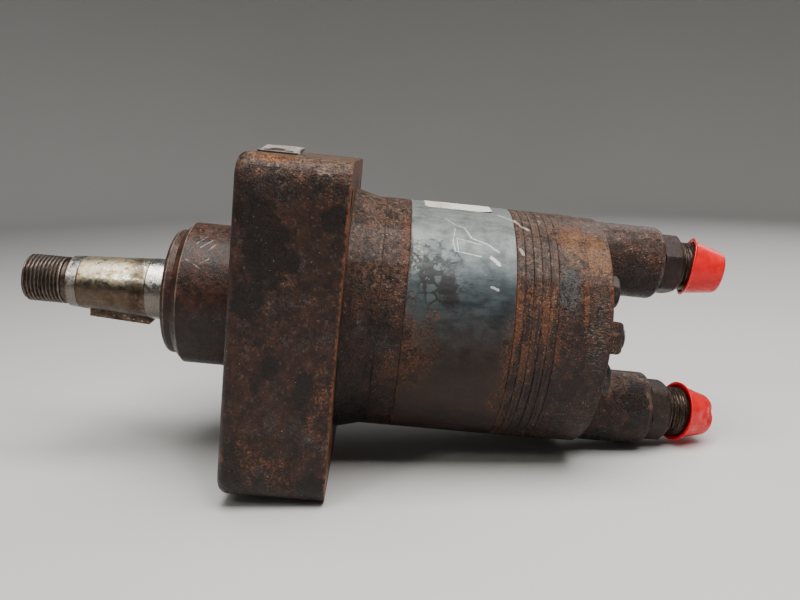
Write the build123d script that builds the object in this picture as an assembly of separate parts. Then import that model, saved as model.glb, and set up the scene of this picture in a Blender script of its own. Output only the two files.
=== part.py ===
from build123d import *
import os
from math import atan2, cos, degrees, atan, pi, radians, sin, sqrt, tan

# Orbital hydraulic motor, in millimetres.
# The shaft axis is X and the output end points to -X. The plane X = 0 is the mounting face of
# the flange, where the machine's plate bears. Z is up, and -Y is the front of the motor.
# A direction around the axis is an angle from straight down (-Z) towards +Y.

# Clearances
running_gap = 0.05      # radial gap of a turning fit
seat_gap = 0.02         # gap of a still piece in its seat
side_gap = 0.12         # axial gap beside a turning piece
spline_gap = 0.60       # flank and tip gap of the tilting splines
groove_gap = 0.15       # gap of a squeezed ring in its groove
overcut = 1.0           # how far a cut runs past the face it opens

# Flange and front casting
flange_width = 200.0
flange_thickness = 63.0
flange_corner_radius = 14.0
flange_front_fillet = 6.0
mounting_spacing = 152.4
mounting_hole_radius = 8.75
pilot_radius = 47.7
pilot_length = 53.0
pilot_chamfer = 4.5
nose_radius = 42.0
nose_length = 7.0
nose_fillet = 3.0
barrel_step = 15.5       # from the bolt circle out to the barrel's side
barrel_reach = 20.5
barrel_root_step = 4.0
barrel_root_length = 16.0

# Rear stack, front to rear
wear_plate_thickness = 16.0
ring_thickness = 65.5
manifold_plate_count = 5
manifold_plate_thickness = 5.1
commutator_ring_thickness = 18.5
cover_thickness = 15.2
cover_step = 0.5
cover_fillet = 1.5
stack_edge_chamfer = 0.4

# Through bolts
station_count = 7
bolt_turn = 3.0          # how far the bolts stand round from midway between the rollers
bolt_step = 11.0         # from the housing's cavity out to the bolt circle
bolt_radius = 6.35
bolt_hole_radius = 6.7
bolt_head_flats = 19.05
bolt_head_height = 8.0
bolt_washer_height = 0.8
bolt_crown_height = 1.6
bolt_crown_inset = 0.4
bolt_tip_chamfer = 1.2
bolt_thread_depth = 26.0
bolt_tip_room = 2.0
spot_face_radius = 12.4
spot_face_depth = 2.0
scallop_length = 13.0

# Rear ports
port_step = 26.0         # from the cover's edge in to the port's axis
boss_radius = 25.0
boss_length = 50.4
boss_root_fillet = 3.0
boss_end_fillet = 3.5
port_thread_radius = 16.6
port_thread_depth = 20.0
port_passage_radius = 9.0
port_seal_pocket_radius = 18.8
port_seal_pocket_depth = 2.4
gallery_width = 14.0
gallery_depth = 6.0
gallery_inner_end = 28.0

# Hex adapters
adapter_flats = 38.1
adapter_hex_length = 11.6
adapter_shoulder_length = 3.3
adapter_shoulder_radius = 17.4
adapter_nose_thread_length = 11.0
adapter_neck_depth = 1.2
adapter_hex_chamfer = 1.5
adapter_tail_room = 1.0
adapter_nose_cone_length = 6.0
adapter_cone_angle = 37.0
adapter_bore_radius = 10.0
adapter_end_gap = 0.3
adapter_turns = (251.0, 273.0)

# Push-on caps
cap_mouth_radius = 17.9
cap_end_radius = 13.3
cap_wall = 0.9
cap_length = 23.0
cap_rim_radius = 20.5
cap_rim_thickness = 1.2
cap_end_fillet = 2.0
cap_pitches = (5.0, 6.5)
cap_yaws = (-10.5, 12.0)
cap_stand_offs = (8.2, 8.7)

# Drain lug on the cover, midway between two bolts
lug_width = 19.5
lug_reach = 7.4
lug_depth = 20.0
lug_corner_radius = 4.5
lug_station = 5
drain_radius = 5.5
drain_step = 9.5
drain_depth = 12.0
drain_tip_room = 1.0
drain_head_radius = 7.2
drain_head_height = 1.0
drain_socket_flats = 4.76
drain_socket_depth = 4.0

# Output shaft
shaft_tip_reach = 151.0
thread_radius = 15.875
thread_length = 25.0
thread_chamfer = 2.2
relief_radius = 14.6
relief_length = 4.0
taper_small_radius = 17.2
taper_big_radius = 20.3
taper_length = 53.0
seal_journal_radius = 20.65
key_width = 9.525
key_start_gap = 12.5
key_length = 40.0
key_proud = 4.3
key_height = 9.0
key_end_run = 3.6

# Front seals
dust_pocket_radius = 30.0
dust_pocket_depth = 8.0
dust_seal_thickness = 6.4
web_thickness = 3.0
web_hole_radius = 22.3
seal_pocket_radius = 31.0
seal_pocket_depth = 9.0
backup_thickness = 1.5
backup_bore_gap = 0.5

# Roller bearings
bearing_roller_count = 18
front_bearing_length = 24.0
front_outer_radius = 36.0
front_roller_circle = 28.0
front_roller_radius = 3.5
front_seat_radius = 22.3
rear_bearing_start = 20.0
rear_bearing_length = 28.0
rear_outer_radius = 44.0
rear_roller_circle = 35.0
rear_roller_radius = 4.0
rear_seat_radius = 27.5
middle_bore_radius = 37.5
shaft_middle_radius = 24.0
race_land = 1.6
cage_half_thickness = 1.3
cage_end_ring = 2.2

# Thrust bearing
cavity_radius = 51.0
thrust_length = 8.0
thrust_washer_thickness = 2.0
thrust_width = 9.6
thrust_side_gap = 1.4
thrust_roller_count = 24
thrust_roller_length = 6.0
thrust_cage_thickness = 1.8

# Shaft cup and drive link
cup_side_gap = 2.0
cup_length = 24.0
cup_mouth_radius = 25.0
cup_floor_gap = 4.0
hub_radius = 30.0
spline_teeth = 12
spline_pitch_radius = 18.8
spline_tooth_height = 3.0
link_front_centre = 58.0
link_rear_centre = 132.0
link_crown_length = 13.0
link_body_radius = 13.5
link_nose_radius = 9.0
link_nose_reach = 74.5
link_hole_radius = 22.0
manifold_hole_radius = 19.0

# Geroler set
eccentricity = 4.2
roller_step = 16.0       # from the bolt circle in to the rollers' centres
roller_radius = 9.0
ring_bore_step = 0.2
profile_points = 210
spacer_inner_radius = 12.2
spacer_room = 3.5

# Manifold windows and commutator
window_radius = 3.2
window_circle_radius = 37.0
window_rows = 2
window_row_pitch = 8.0
commutator_radius = 33.5
commutator_bore_gap = 0.7
commutator_side_room = 0.9
commutator_slot_count = 6
commutator_slot_radius = 2.6
commutator_slot_circle = 21.0
commutator_seal_inner_radius = 26.5
commutator_seal_width = 3.0
commutator_seal_depth = 3.0

# Ring seals between the stack's pieces
seal_step = 4.7
seal_section_radius = 1.15

# Name plate and paper label
plate_width = 23.5
plate_length = 38.0
plate_thickness = 1.2
plate_start = 6.0
plate_front = -64.0
plate_foot = 12.0        # the flat part that the screws hold
plate_lift = 3.3         # how far the leaf behind it is bent up
plate_slot_width = 3.0
plate_slot_length = 8.0
plate_slot_side = 9.5
plate_slot_gap = 4.0
plate_screw_radius = 1.6
plate_screw_head_radius = 3.0
plate_screw_head_height = 0.8
plate_screw_inset = 6.0
plate_screw_depth = 7.0
plate_screw_room = 0.5
plate_screw_fillet = 0.4
label_thickness = 0.25
label_inset = 9.0
label_length = 44.0
label_start_angle = 155.0
label_sweep = 39.0

# Radii worked out from the housing's cavity outwards
bolt_circle_radius = cavity_radius + bolt_step
barrel_radius = bolt_circle_radius + barrel_step
barrel_root_radius = barrel_radius + barrel_root_step
seal_circle_radius = barrel_radius - seal_step
cover_radius = barrel_radius - cover_step
port_offset = cover_radius - port_step
lug_inner_radius = cover_radius - lug_depth
drain_circle_radius = cover_radius - drain_step
cup_radius = cavity_radius - cup_side_gap
thrust_outer_radius = cavity_radius - thrust_side_gap
thrust_inner_radius = thrust_outer_radius - thrust_width
roller_circle_radius = bolt_circle_radius - roller_step
ring_bore_radius = roller_circle_radius - ring_bore_step

# Places along the axis, worked out from the lengths above
nose_face = -pilot_length
nose_step = nose_face + nose_length
dust_floor = nose_face + dust_pocket_depth
seal_floor = dust_floor + web_thickness
front_bearing_start = seal_floor + seal_pocket_depth
front_bearing_end = front_bearing_start + front_bearing_length
rear_bearing_end = rear_bearing_start + rear_bearing_length
cup_face = rear_bearing_end + thrust_length
cup_end = cup_face + cup_length
housing_end = flange_thickness + barrel_reach
wear_plate_end = housing_end + wear_plate_thickness
ring_end = wear_plate_end + ring_thickness
manifold_end = ring_end + manifold_plate_count * manifold_plate_thickness
commutator_ring_end = manifold_end + commutator_ring_thickness
cover_face = commutator_ring_end + cover_thickness
boss_end = cover_face + boss_length
shaft_tip = -shaft_tip_reach
relief_start = shaft_tip + thread_length
taper_start = relief_start + relief_length
taper_end = taper_start + taper_length
key_start = taper_start + key_start_gap
key_end = key_start + key_length
taper_slope = (taper_big_radius - taper_small_radius) / taper_length

# Places around the axis
station_angle = 360.0 / station_count
roller_line_angle = lug_station * station_angle
lug_angle = roller_line_angle + bolt_turn
covered_stations = (station_count // 2, station_count - 1)
link_tilt = degrees(atan(eccentricity / (link_rear_centre - link_front_centre)))
commutator_centre = (manifold_end + commutator_ring_end) / 2
commutator_offset = (commutator_centre - link_front_centre) * tan(radians(link_tilt))
commutator_room = commutator_radius + commutator_offset + commutator_side_room


def facing(x):
    """The plane at x, seen from the rear: its own x axis points down and its y axis to +Y."""
    return Plane(origin=(x, 0, 0), x_dir=(0, 0, -1), z_dir=(1, 0, 0))


def turned(*profile):
    """A solid of revolution about the shaft axis from (x, radius) corners."""
    return revolve(make_face(Polyline(*profile, close=True)), axis=Axis.X)


def tube(start, end, outer, inner=0.0):
    return turned((start, inner), (start, outer), (end, outer), (end, inner))


def rod(start, end, radius, y=0.0, z=0.0):
    """A round bar parallel to the shaft axis, through (y, z)."""
    return extrude(facing(start) * Pos(-z, y) * Circle(radius), amount=end - start)


def around(count, radius, first=0.0, skip=()):
    """The (y, z) places of a ring of count points, the first at the angle first."""
    angles = [radians(first + 360.0 * k / count) for k in range(count) if k not in skip]
    return [(radius * sin(a), -radius * cos(a)) for a in angles]


def bolt_places():
    """The bolts stand between the rollers. Each port boss covers one station."""
    return around(station_count, bolt_circle_radius, station_angle / 2 + bolt_turn, covered_stations)


def bars(places, start, end, radius):
    return [rod(start, end, radius, y, z) for y, z in places]


def drilled(body, places, start, end, radius):
    for hole in bars(places, start, end, radius):
        body = body - hole
    return body


def grooved(body, face):
    """A ring seal's groove, cut forward into the rear face of a piece of the stack."""
    half = seal_section_radius + groove_gap
    depth = 2 * seal_section_radius
    return body - tube(face - depth, face, seal_circle_radius + half, seal_circle_radius - half)


def hexagon(flats):
    return RegularPolygon(flats / sqrt(3), 6)


# Castings and plates of the outside

def mounting_places():
    half = mounting_spacing / 2
    return [(y, z) for y in (-half, half) for z in (-half, half)]


def housing():
    """The front casting: pilot, square flange and barrel in one piece."""
    square = RectangleRounded(flange_width, flange_width, flange_corner_radius)
    block = extrude(facing(0) * square, amount=flange_thickness)
    block = fillet(block.faces().sort_by(Axis.X)[0].edges(), flange_front_fillet)
    chamfer_foot = nose_step + pilot_chamfer
    pilot = turned(
        (nose_face, 0),
        (nose_face, nose_radius),
        (nose_step, nose_radius),
        (nose_step, pilot_radius - pilot_chamfer),
        (chamfer_foot, pilot_radius),
        (flange_front_fillet + overcut, pilot_radius),
        (flange_front_fillet + overcut, 0),
    )
    front = pilot.faces().sort_by(Axis.X)[0].edges()
    pilot = fillet(front, nose_fillet)
    barrel = turned(
        (flange_thickness - overcut, 0),
        (flange_thickness - overcut, barrel_root_radius),
        (flange_thickness, barrel_root_radius),
        (flange_thickness + barrel_root_length, barrel_radius),
        (housing_end, barrel_radius),
        (housing_end, 0),
    )
    body = block + pilot + barrel
    body = body - turned(
        (nose_face - overcut, 0),
        (nose_face - overcut, dust_pocket_radius),
        (dust_floor, dust_pocket_radius),
        (dust_floor, web_hole_radius),
        (seal_floor, web_hole_radius),
        (seal_floor, seal_pocket_radius),
        (front_bearing_start, seal_pocket_radius),
        (front_bearing_start, front_outer_radius),
        (front_bearing_end, front_outer_radius),
        (front_bearing_end, middle_bore_radius),
        (rear_bearing_start, middle_bore_radius),
        (rear_bearing_start, rear_outer_radius),
        (rear_bearing_end, rear_outer_radius),
        (rear_bearing_end, cavity_radius),
        (housing_end + overcut, cavity_radius),
        (housing_end + overcut, 0),
    )
    body = drilled(body, mounting_places(), -overcut, flange_thickness + overcut,
                   mounting_hole_radius)
    thread_start = housing_end - bolt_thread_depth
    body = drilled(body, bolt_places(), thread_start, housing_end + overcut,
                   bolt_radius + seat_gap)
    for y, z in plate_screw_places():
        body = body - plate_screw_hole(y, z)
    return grooved(body, housing_end)


def stack_plate(start, end, hole_radius):
    """A round plate of the stack with its bolt holes and lightly broken outer edges."""
    c = stack_edge_chamfer
    plate = turned(
        (start, hole_radius),
        (start, barrel_radius - c),
        (start + c, barrel_radius),
        (end - c, barrel_radius),
        (end, barrel_radius - c),
        (end, hole_radius),
    )
    return drilled(plate, bolt_places(), start - overcut, end + overcut, bolt_hole_radius)


def wear_plate():
    return grooved(stack_plate(housing_end, wear_plate_end, link_hole_radius), wear_plate_end)


def roller_places():
    return around(station_count, roller_circle_radius)


def geroler_ring():
    """The stator ring: seven half-round pockets hold the rollers."""
    ring = stack_plate(wear_plate_end, ring_end, ring_bore_radius)
    pocket_radius = roller_radius + running_gap
    ring = drilled(ring, roller_places(), wear_plate_end - overcut, ring_end + overcut,
                   pocket_radius)
    return grooved(ring, ring_end)


def manifold_plate(index):
    start = ring_end + index * manifold_plate_thickness
    end = start + manifold_plate_thickness
    plate = stack_plate(start, end, manifold_hole_radius)
    inner = window_circle_radius - window_row_pitch
    for row in range(window_rows):
        spots = around(station_count, inner + row * window_row_pitch, row * station_angle / 2)
        plate = drilled(plate, spots, start - overcut, end + overcut, window_radius)
    if index == manifold_plate_count - 1:
        plate = grooved(plate, end)
    return plate


def commutator_ring():
    return grooved(stack_plate(manifold_end, commutator_ring_end, commutator_room),
                   commutator_ring_end)


def port_angles():
    """The ports stand a quarter turn to each side of the roller line next to the drain lug."""
    return [roller_line_angle - 90, roller_line_angle + 90]


def port_places():
    return [(port_offset * sin(radians(a)), -port_offset * cos(radians(a))) for a in port_angles()]


def drain_lug():
    """A square lug at the cover's edge, flush with its side, for the drain plug."""
    length = cover_radius - lug_inner_radius
    outline = Pos(lug_inner_radius + length / 2, 0) * Rectangle(length, lug_width)
    lug = extrude(facing(cover_face - overcut) * Rot(0, 0, lug_angle) * outline,
                  amount=lug_reach + overcut)
    lug = lug & tube(cover_face - overcut, cover_face + lug_reach, cover_radius)
    rear = lug.faces().sort_by(Axis.X)[-1].edges()
    return fillet(rear, lug_corner_radius)


def end_cover():
    """The rear casting: a round cover with two long port bosses and the drain lug."""
    cover = tube(commutator_ring_end, cover_face, cover_radius)
    cover = fillet(cover.faces().sort_by(Axis.X)[-1].edges(), cover_fillet)
    for y, z in port_places():
        boss = rod(cover_face - overcut, boss_end, boss_radius, y, z)
        boss = fillet(boss.faces().sort_by(Axis.X)[-1].edges(), boss_end_fillet)
        foot = Cone(boss_radius + boss_root_fillet, boss_radius, boss_root_fillet,
                    align=(Align.CENTER, Align.CENTER, Align.MIN))
        foot = facing(cover_face) * Pos(-z, y) * foot
        round_edge = tube(cover_face, boss_end, cover_radius)
        cover = cover + boss + (foot & round_edge)
    cover = cover + drain_lug()
    cover = drilled(cover, bolt_places(), commutator_ring_end - overcut, cover_face + overcut,
                    bolt_hole_radius)
    seat = cover_face - spot_face_depth
    cover = drilled(cover, bolt_places(), seat, seat + scallop_length, spot_face_radius)
    gallery_floor = commutator_ring_end + gallery_depth
    gallery_length = port_offset - gallery_inner_end
    gallery_middle = (port_offset + gallery_inner_end) / 2
    for angle, (y, z) in zip(port_angles(), port_places()):
        cover = cover - rod(gallery_floor - overcut, boss_end, port_passage_radius, y, z)
        cover = cover - rod(boss_end - port_thread_depth, boss_end + overcut, port_thread_radius, y, z)
        cover = cover - rod(boss_end - port_seal_pocket_depth, boss_end + overcut,
                            port_seal_pocket_radius, y, z)
        slot = Pos(gallery_middle, 0) * SlotOverall(gallery_length + gallery_width, gallery_width)
        slot = facing(commutator_ring_end - overcut) * Rot(0, 0, angle) * slot
        cover = cover - extrude(slot, amount=gallery_depth + overcut)
    (y, z), = drain_place()
    lug_top = cover_face + lug_reach
    return cover - rod(lug_top - drain_depth, lug_top + overcut, drain_radius + seat_gap, y, z)


# Fasteners, plugs and ports of the outside

def cover_bolts():
    """Five hexagon bolts through the whole stack into the housing."""
    seat = cover_face - spot_face_depth
    tip = housing_end - bolt_thread_depth + bolt_tip_room
    washer_end = seat + bolt_washer_height
    crown_start = seat + bolt_head_height - bolt_crown_height
    head_end = seat + bolt_head_height
    corner = bolt_head_flats / sqrt(3)
    shank = turned(
        (tip, 0),
        (tip, bolt_radius - bolt_tip_chamfer),
        (tip + bolt_tip_chamfer, bolt_radius),
        (seat, bolt_radius),
        (seat, bolt_head_flats / 2),
        (washer_end, bolt_head_flats / 2),
        (washer_end, 0),
    )
    envelope = turned(
        (washer_end, 0),
        (washer_end, corner),
        (crown_start, corner),
        (head_end, bolt_head_flats / 2 - bolt_crown_inset),
        (head_end, 0),
    )
    head = extrude(facing(washer_end) * hexagon(bolt_head_flats), amount=head_end - washer_end)
    bolt = shank + (head & envelope)
    return Compound([Pos(0, y, z) * bolt for y, z in bolt_places()])


def drain_place():
    return [(drain_circle_radius * sin(radians(lug_angle)),
             -drain_circle_radius * cos(radians(lug_angle)))]


def drain_plug():
    (y, z), = drain_place()
    seat = cover_face + lug_reach
    head_end = seat + drain_head_height
    body = rod(seat - drain_depth + drain_tip_room, seat, drain_radius, y, z)
    body = body + rod(seat, head_end, drain_head_radius, y, z)
    socket = facing(head_end - drain_socket_depth) * Pos(-z, y) * hexagon(drain_socket_flats)
    return body - extrude(socket, amount=drain_socket_depth + overcut)


def port_adapter(index):
    """A straight adapter: port thread, hexagon, and a male end with a cone seat."""
    y, z = port_places()[index]
    tail = boss_end - port_thread_depth + adapter_tail_room
    pocket = boss_end - port_seal_pocket_depth
    hex_start = boss_end + adapter_end_gap
    hex_end = hex_start + adapter_hex_length
    shoulder_end = hex_end + adapter_shoulder_length
    thread_end = shoulder_end + adapter_nose_thread_length
    nose_end = thread_end + adapter_nose_cone_length
    corner = adapter_flats / sqrt(3)
    thread_radius_in = port_thread_radius - seat_gap
    neck = port_thread_radius - adapter_neck_depth
    nose_radius_out = port_thread_radius - adapter_nose_cone_length * tan(radians(adapter_cone_angle))
    outline = facing(hex_start) * Rot(0, 0, adapter_turns[index]) * hexagon(adapter_flats)
    envelope = turned(
        (hex_start, 0),
        (hex_start, adapter_flats / 2),
        (hex_start + adapter_hex_chamfer, corner),
        (hex_end, corner),
        (shoulder_end, adapter_shoulder_radius),
        (shoulder_end, 0),
    )
    core = turned(
        (tail, 0),
        (tail, thread_radius_in),
        (pocket, thread_radius_in),
        (pocket, neck),
        (shoulder_end - adapter_shoulder_length / 2, neck),
        (shoulder_end - adapter_shoulder_length / 2, port_thread_radius),
        (thread_end, port_thread_radius),
        (nose_end, nose_radius_out),
        (nose_end, 0),
    )
    body = (extrude(outline, amount=shoulder_end - hex_start) & envelope) + core
    body = body - tube(tail - overcut, nose_end + overcut, adapter_bore_radius)
    return Pos(0, y, z) * body


def port_seals():
    """A squeezed ring seal in the pocket of each port boss."""
    inner = port_thread_radius - adapter_neck_depth + seat_gap
    rings = []
    for y, z in port_places():
        ring = tube(boss_end - port_seal_pocket_depth + seat_gap, boss_end + adapter_end_gap - seat_gap,
                    port_seal_pocket_radius - seat_gap, inner)
        rings.append(Pos(0, y, z) * ring)
    return Compound(rings)


def cap(index):
    """A tapered push-on plastic cap with a thin flared rim, sitting crooked on the male end."""
    y, z = port_places()[index]
    inner_floor = cap_length - cap_wall
    shell = turned(
        (0, 0),
        (0, cap_rim_radius),
        (cap_rim_thickness, cap_rim_radius),
        (cap_rim_thickness, cap_mouth_radius + cap_wall),
        (cap_length, cap_end_radius + cap_wall),
        (cap_length, 0),
    )
    shell = fillet(shell.faces().sort_by(Axis.X)[-1].edges(), cap_end_fillet)
    shell = shell - turned(
        (-overcut, 0),
        (-overcut, cap_mouth_radius),
        (0, cap_mouth_radius),
        (inner_floor, cap_end_radius),
        (inner_floor, 0),
    )
    shoulder = boss_end + adapter_end_gap + adapter_hex_length + adapter_shoulder_length
    place = Pos(shoulder + cap_stand_offs[index], y, z)
    return place * Rot(0, cap_pitches[index], cap_yaws[index]) * shell


def plate_screw_places():
    y = plate_front + plate_foot / 2
    return [(y, plate_start + plate_screw_inset), (y, plate_start + plate_width - plate_screw_inset)]


def plate_screw_hole(y, x):
    top = flange_width / 2
    above = plate_thickness + overcut
    hole = Cylinder(plate_screw_radius + seat_gap, plate_screw_depth + above,
                    align=(Align.CENTER, Align.CENTER, Align.MAX))
    return Pos(x, y, top + above) * hole


def name_plate():
    """A bare metal tag on top of the flange: a flat foot, and a bent-up leaf with a slot."""
    top = flange_width / 2
    bend = atan2(plate_lift, plate_length - plate_foot)
    foot_end = plate_front + plate_foot
    leaf_end = plate_front + plate_length
    bend_step = plate_thickness * tan(bend / 2)
    side = [
        (plate_front, top),
        (foot_end, top),
        (leaf_end, top + plate_lift),
        (leaf_end - plate_thickness * sin(bend), top + plate_lift + plate_thickness * cos(bend)),
        (foot_end - bend_step, top + plate_thickness),
        (plate_front, top + plate_thickness),
    ]
    outline = make_face(Polyline(*[(-z, y) for y, z in side], close=True))
    plate = extrude(facing(plate_start) * outline, amount=plate_width)
    slot = Pos(plate_start + plate_slot_side, foot_end + plate_slot_gap)
    slot = slot * SlotOverall(plate_slot_length, plate_slot_width)
    plate = plate - extrude(Plane.XY.offset(top - overcut) * slot, amount=plate_lift + plate_thickness + 2 * overcut)
    for y, x in plate_screw_places():
        plate = plate - plate_screw_hole(y, x)
    return plate


def plate_screws():
    top = flange_width / 2
    screws = []
    for y, x in plate_screw_places():
        pin = Cylinder(plate_screw_radius, plate_screw_depth + plate_thickness - plate_screw_room,
                       align=(Align.CENTER, Align.CENTER, Align.MAX))
        head = Cylinder(plate_screw_head_radius, plate_screw_head_height,
                        align=(Align.CENTER, Align.CENTER, Align.MIN))
        head = fillet(head.faces().sort_by(Axis.Z)[-1].edges(), plate_screw_fillet)
        screws.append(Pos(x, y, top + plate_thickness) * (pin + head))
    return Compound(screws)


def label():
    """A blank paper label wrapped over the top of the geroler ring."""
    start = wear_plate_end + label_inset
    inner = barrel_radius + seat_gap
    profile = make_face(Polyline(
        (start, inner),
        (start, inner + label_thickness),
        (start + label_length, inner + label_thickness),
        (start + label_length, inner),
        close=True,
    ))
    strip = revolve(profile, axis=Axis.X, revolution_arc=label_sweep)
    return Rot(label_start_angle - 90, 0, 0) * strip


# Seals of the inside

def dust_seal():
    start = dust_floor - dust_seal_thickness
    return tube(start, dust_floor, dust_pocket_radius - seat_gap, seal_journal_radius + running_gap)


def backup_washer():
    end = seal_floor + backup_thickness
    return tube(seal_floor, end, seal_pocket_radius - seat_gap, seal_journal_radius + backup_bore_gap)


def shaft_seal():
    start = seal_floor + backup_thickness
    return tube(start, front_bearing_start - side_gap, seal_pocket_radius - seat_gap,
                seal_journal_radius + running_gap)


def section_seals():
    """Five ring seals, one in each rear face of the stack."""
    faces = (housing_end, wear_plate_end, ring_end, manifold_end, commutator_ring_end)
    rings = []
    for face in faces:
        ring = Torus(seal_circle_radius, seal_section_radius - seat_gap)
        rings.append(Pos(face - seal_section_radius, 0, 0) * Rot(0, 90, 0) * ring)
    return Compound(rings)


# Bearings

def outer_race(start, length, outer, circle, roller):
    end = start + length
    return tube(start, end - side_gap, outer - seat_gap, circle + roller + running_gap)


def inner_race(start, length, seat, circle, roller):
    end = start + length
    return tube(start + side_gap, end - side_gap, circle - roller - running_gap, seat + seat_gap)


def bearing_rollers(start, length, circle, roller):
    rise = race_land + side_gap
    places = around(bearing_roller_count, circle)
    return Compound(bars(places, start + rise + cage_end_ring, start + length - rise - cage_end_ring,
                         roller))


def bearing_cage(start, length, circle, roller):
    ring = tube(start + race_land, start + length - race_land, circle + cage_half_thickness,
                circle - cage_half_thickness)
    rise = race_land + cage_end_ring
    places = around(bearing_roller_count, circle)
    return drilled(ring, places, start + rise, start + length - rise, roller + running_gap)


def thrust_washer(start, turning):
    """A flat ring. The turning one clears the housing, the still one the shaft."""
    gap = side_gap if turning else 0.0
    return tube(start + gap, start + thrust_washer_thickness - side_gap / 2,
                thrust_outer_radius, thrust_inner_radius)


def thrust_needle(shrink):
    """One needle along Z, standing at the top of the bearing."""
    radius = thrust_length / 2 - thrust_washer_thickness - running_gap
    middle = (thrust_inner_radius + thrust_outer_radius) / 2
    length = thrust_roller_length + 2 * shrink
    needle = Cylinder(radius + shrink, length)
    return Pos(rear_bearing_end + thrust_length / 2, 0, middle) * needle


def thrust_rollers():
    step = 360.0 / thrust_roller_count
    return Compound([Rot(k * step, 0, 0) * thrust_needle(0) for k in range(thrust_roller_count)])


def thrust_cage():
    middle = rear_bearing_end + thrust_length / 2
    half = thrust_cage_thickness / 2
    cage = tube(middle - half, middle + half, thrust_outer_radius, thrust_inner_radius)
    step = 360.0 / thrust_roller_count
    for k in range(thrust_roller_count):
        cage = cage - Rot(k * step, 0, 0) * thrust_needle(running_gap)
    return cage


# Shaft, key and drive link

def key_profile(gap):
    """The key seen from the side, in (x, z). Its outer face runs along the taper."""
    def wall(x):
        return taper_small_radius + (x - taper_start) * taper_slope
    low = key_proud + gap
    deep = key_height - key_proud + gap
    start = key_start - gap
    end = key_end + gap
    return Polyline(
        (start, -wall(start) - low),
        (end, -wall(end) - low),
        (end + key_end_run, -wall(end) + deep - key_proud),
        (end + key_end_run, -wall(end) + deep),
        (start, -wall(start) + deep),
        close=True,
    )


def key_block(gap):
    side = Plane.XZ * make_face(key_profile(gap))
    return extrude(side, amount=key_width / 2 + gap, both=True)


def shaft_key():
    return key_block(0.0)


def spline_star(tip_radius, root_radius, tooth_width):
    """Straight-sided teeth on a round core, as a sketch."""
    star = Circle(root_radius)
    length = tip_radius - root_radius / 2
    for k in range(spline_teeth):
        tooth = Pos(root_radius / 2 + length / 2, 0) * Rectangle(length, tooth_width)
        star = star + Rot(0, 0, 360.0 * k / spline_teeth) * tooth
    return star


def spline_socket(start, end):
    """The space inside an internal spline."""
    half = spline_tooth_height / 2
    pitch = 2 * pi * spline_pitch_radius / spline_teeth
    star = spline_star(spline_pitch_radius + half + spline_gap, spline_pitch_radius - half,
                       pitch / 2 + spline_gap)
    return extrude(facing(start) * star, amount=end - start)


def output_shaft():
    """Threaded and tapered in front, with two bearing seats and a splined cup behind."""
    body = turned(
        (shaft_tip, 0),
        (shaft_tip, thread_radius - thread_chamfer),
        (shaft_tip + thread_chamfer, thread_radius),
        (relief_start, thread_radius),
        (relief_start, relief_radius),
        (taper_start, relief_radius),
        (taper_start, taper_small_radius),
        (taper_end, taper_big_radius),
        (taper_end, seal_journal_radius),
        (front_bearing_start, seal_journal_radius),
        (front_bearing_start, front_seat_radius),
        (front_bearing_end, front_seat_radius),
        (front_bearing_end, shaft_middle_radius),
        (rear_bearing_start, shaft_middle_radius),
        (rear_bearing_start, rear_seat_radius),
        (rear_bearing_end, rear_seat_radius),
        (rear_bearing_end, hub_radius),
        (cup_face, hub_radius),
        (cup_face, cup_radius),
        (cup_end, cup_radius),
        (cup_end, 0),
    )
    half = link_crown_length / 2
    floor = link_front_centre - half - cup_floor_gap
    spline_end = link_front_centre + half + overcut
    body = body - spline_socket(floor, spline_end)
    body = body - tube(spline_end, cup_end + overcut, cup_mouth_radius)
    return body - key_block(seat_gap)


def drive_link():
    """The dog bone: a crowned spline at each end and a round nose, tilted to follow the rotor."""
    half = spline_tooth_height / 2
    pitch = 2 * pi * spline_pitch_radius / spline_teeth
    star = spline_star(spline_pitch_radius + half, spline_pitch_radius - half - spline_gap,
                       pitch / 2 - spline_gap)
    crown = link_crown_length / 2
    span = (link_rear_centre - link_front_centre) / cos(radians(link_tilt))
    body = tube(0, span + link_nose_reach, link_nose_radius) + tube(0, span, link_body_radius)
    for centre in (0, span):
        body = body + extrude(facing(centre - crown) * star, amount=link_crown_length)
    return Pos(link_front_centre, 0, 0) * Rot(0, link_tilt, 0) * body


# Geroler, manifold and commutator, all orbiting parts drawn at their lowest place

def rotor_outline():
    """The conjugate curve of the rollers: an epitrochoid drawn in by the roller's radius."""
    n = station_count
    big = roller_circle_radius
    small = roller_radius + running_gap
    points = []
    for k in range(profile_points):
        t = 2 * pi * k / profile_points
        lean = atan2(sin((1 - n) * t), big / (eccentricity * n) - cos((1 - n) * t))
        points.append((
            big * cos(t) - small * cos(t + lean) - eccentricity * cos(n * t),
            -big * sin(t) + small * sin(t + lean) + eccentricity * sin(n * t),
        ))
    return make_face(Spline(*points, periodic=True))


def rotor():
    start = wear_plate_end + side_gap
    length = ring_thickness - 2 * side_gap
    body = extrude(facing(start) * rotor_outline(), amount=length)
    body = body - spline_socket(start - overcut, ring_end + overcut)
    return Pos(0, 0, -eccentricity) * body


def link_spacer():
    """A plain ring round the link's nose that keeps the link forward."""
    start = link_rear_centre + link_crown_length / 2 + spacer_room
    outer = spline_pitch_radius - spline_tooth_height / 2 - running_gap - side_gap
    ring = tube(start, ring_end - 2 * side_gap, outer, spacer_inner_radius)
    return Pos(0, 0, -eccentricity) * ring


def geroler_roller(index):
    y, z = roller_places()[index]
    return rod(wear_plate_end + side_gap, ring_end - side_gap, roller_radius, y, z)


def seal_groove(gap):
    inner = commutator_seal_inner_radius
    end = commutator_ring_end - side_gap
    return tube(end - commutator_seal_depth - gap, end, inner + commutator_seal_width + gap,
                inner - gap)


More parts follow.
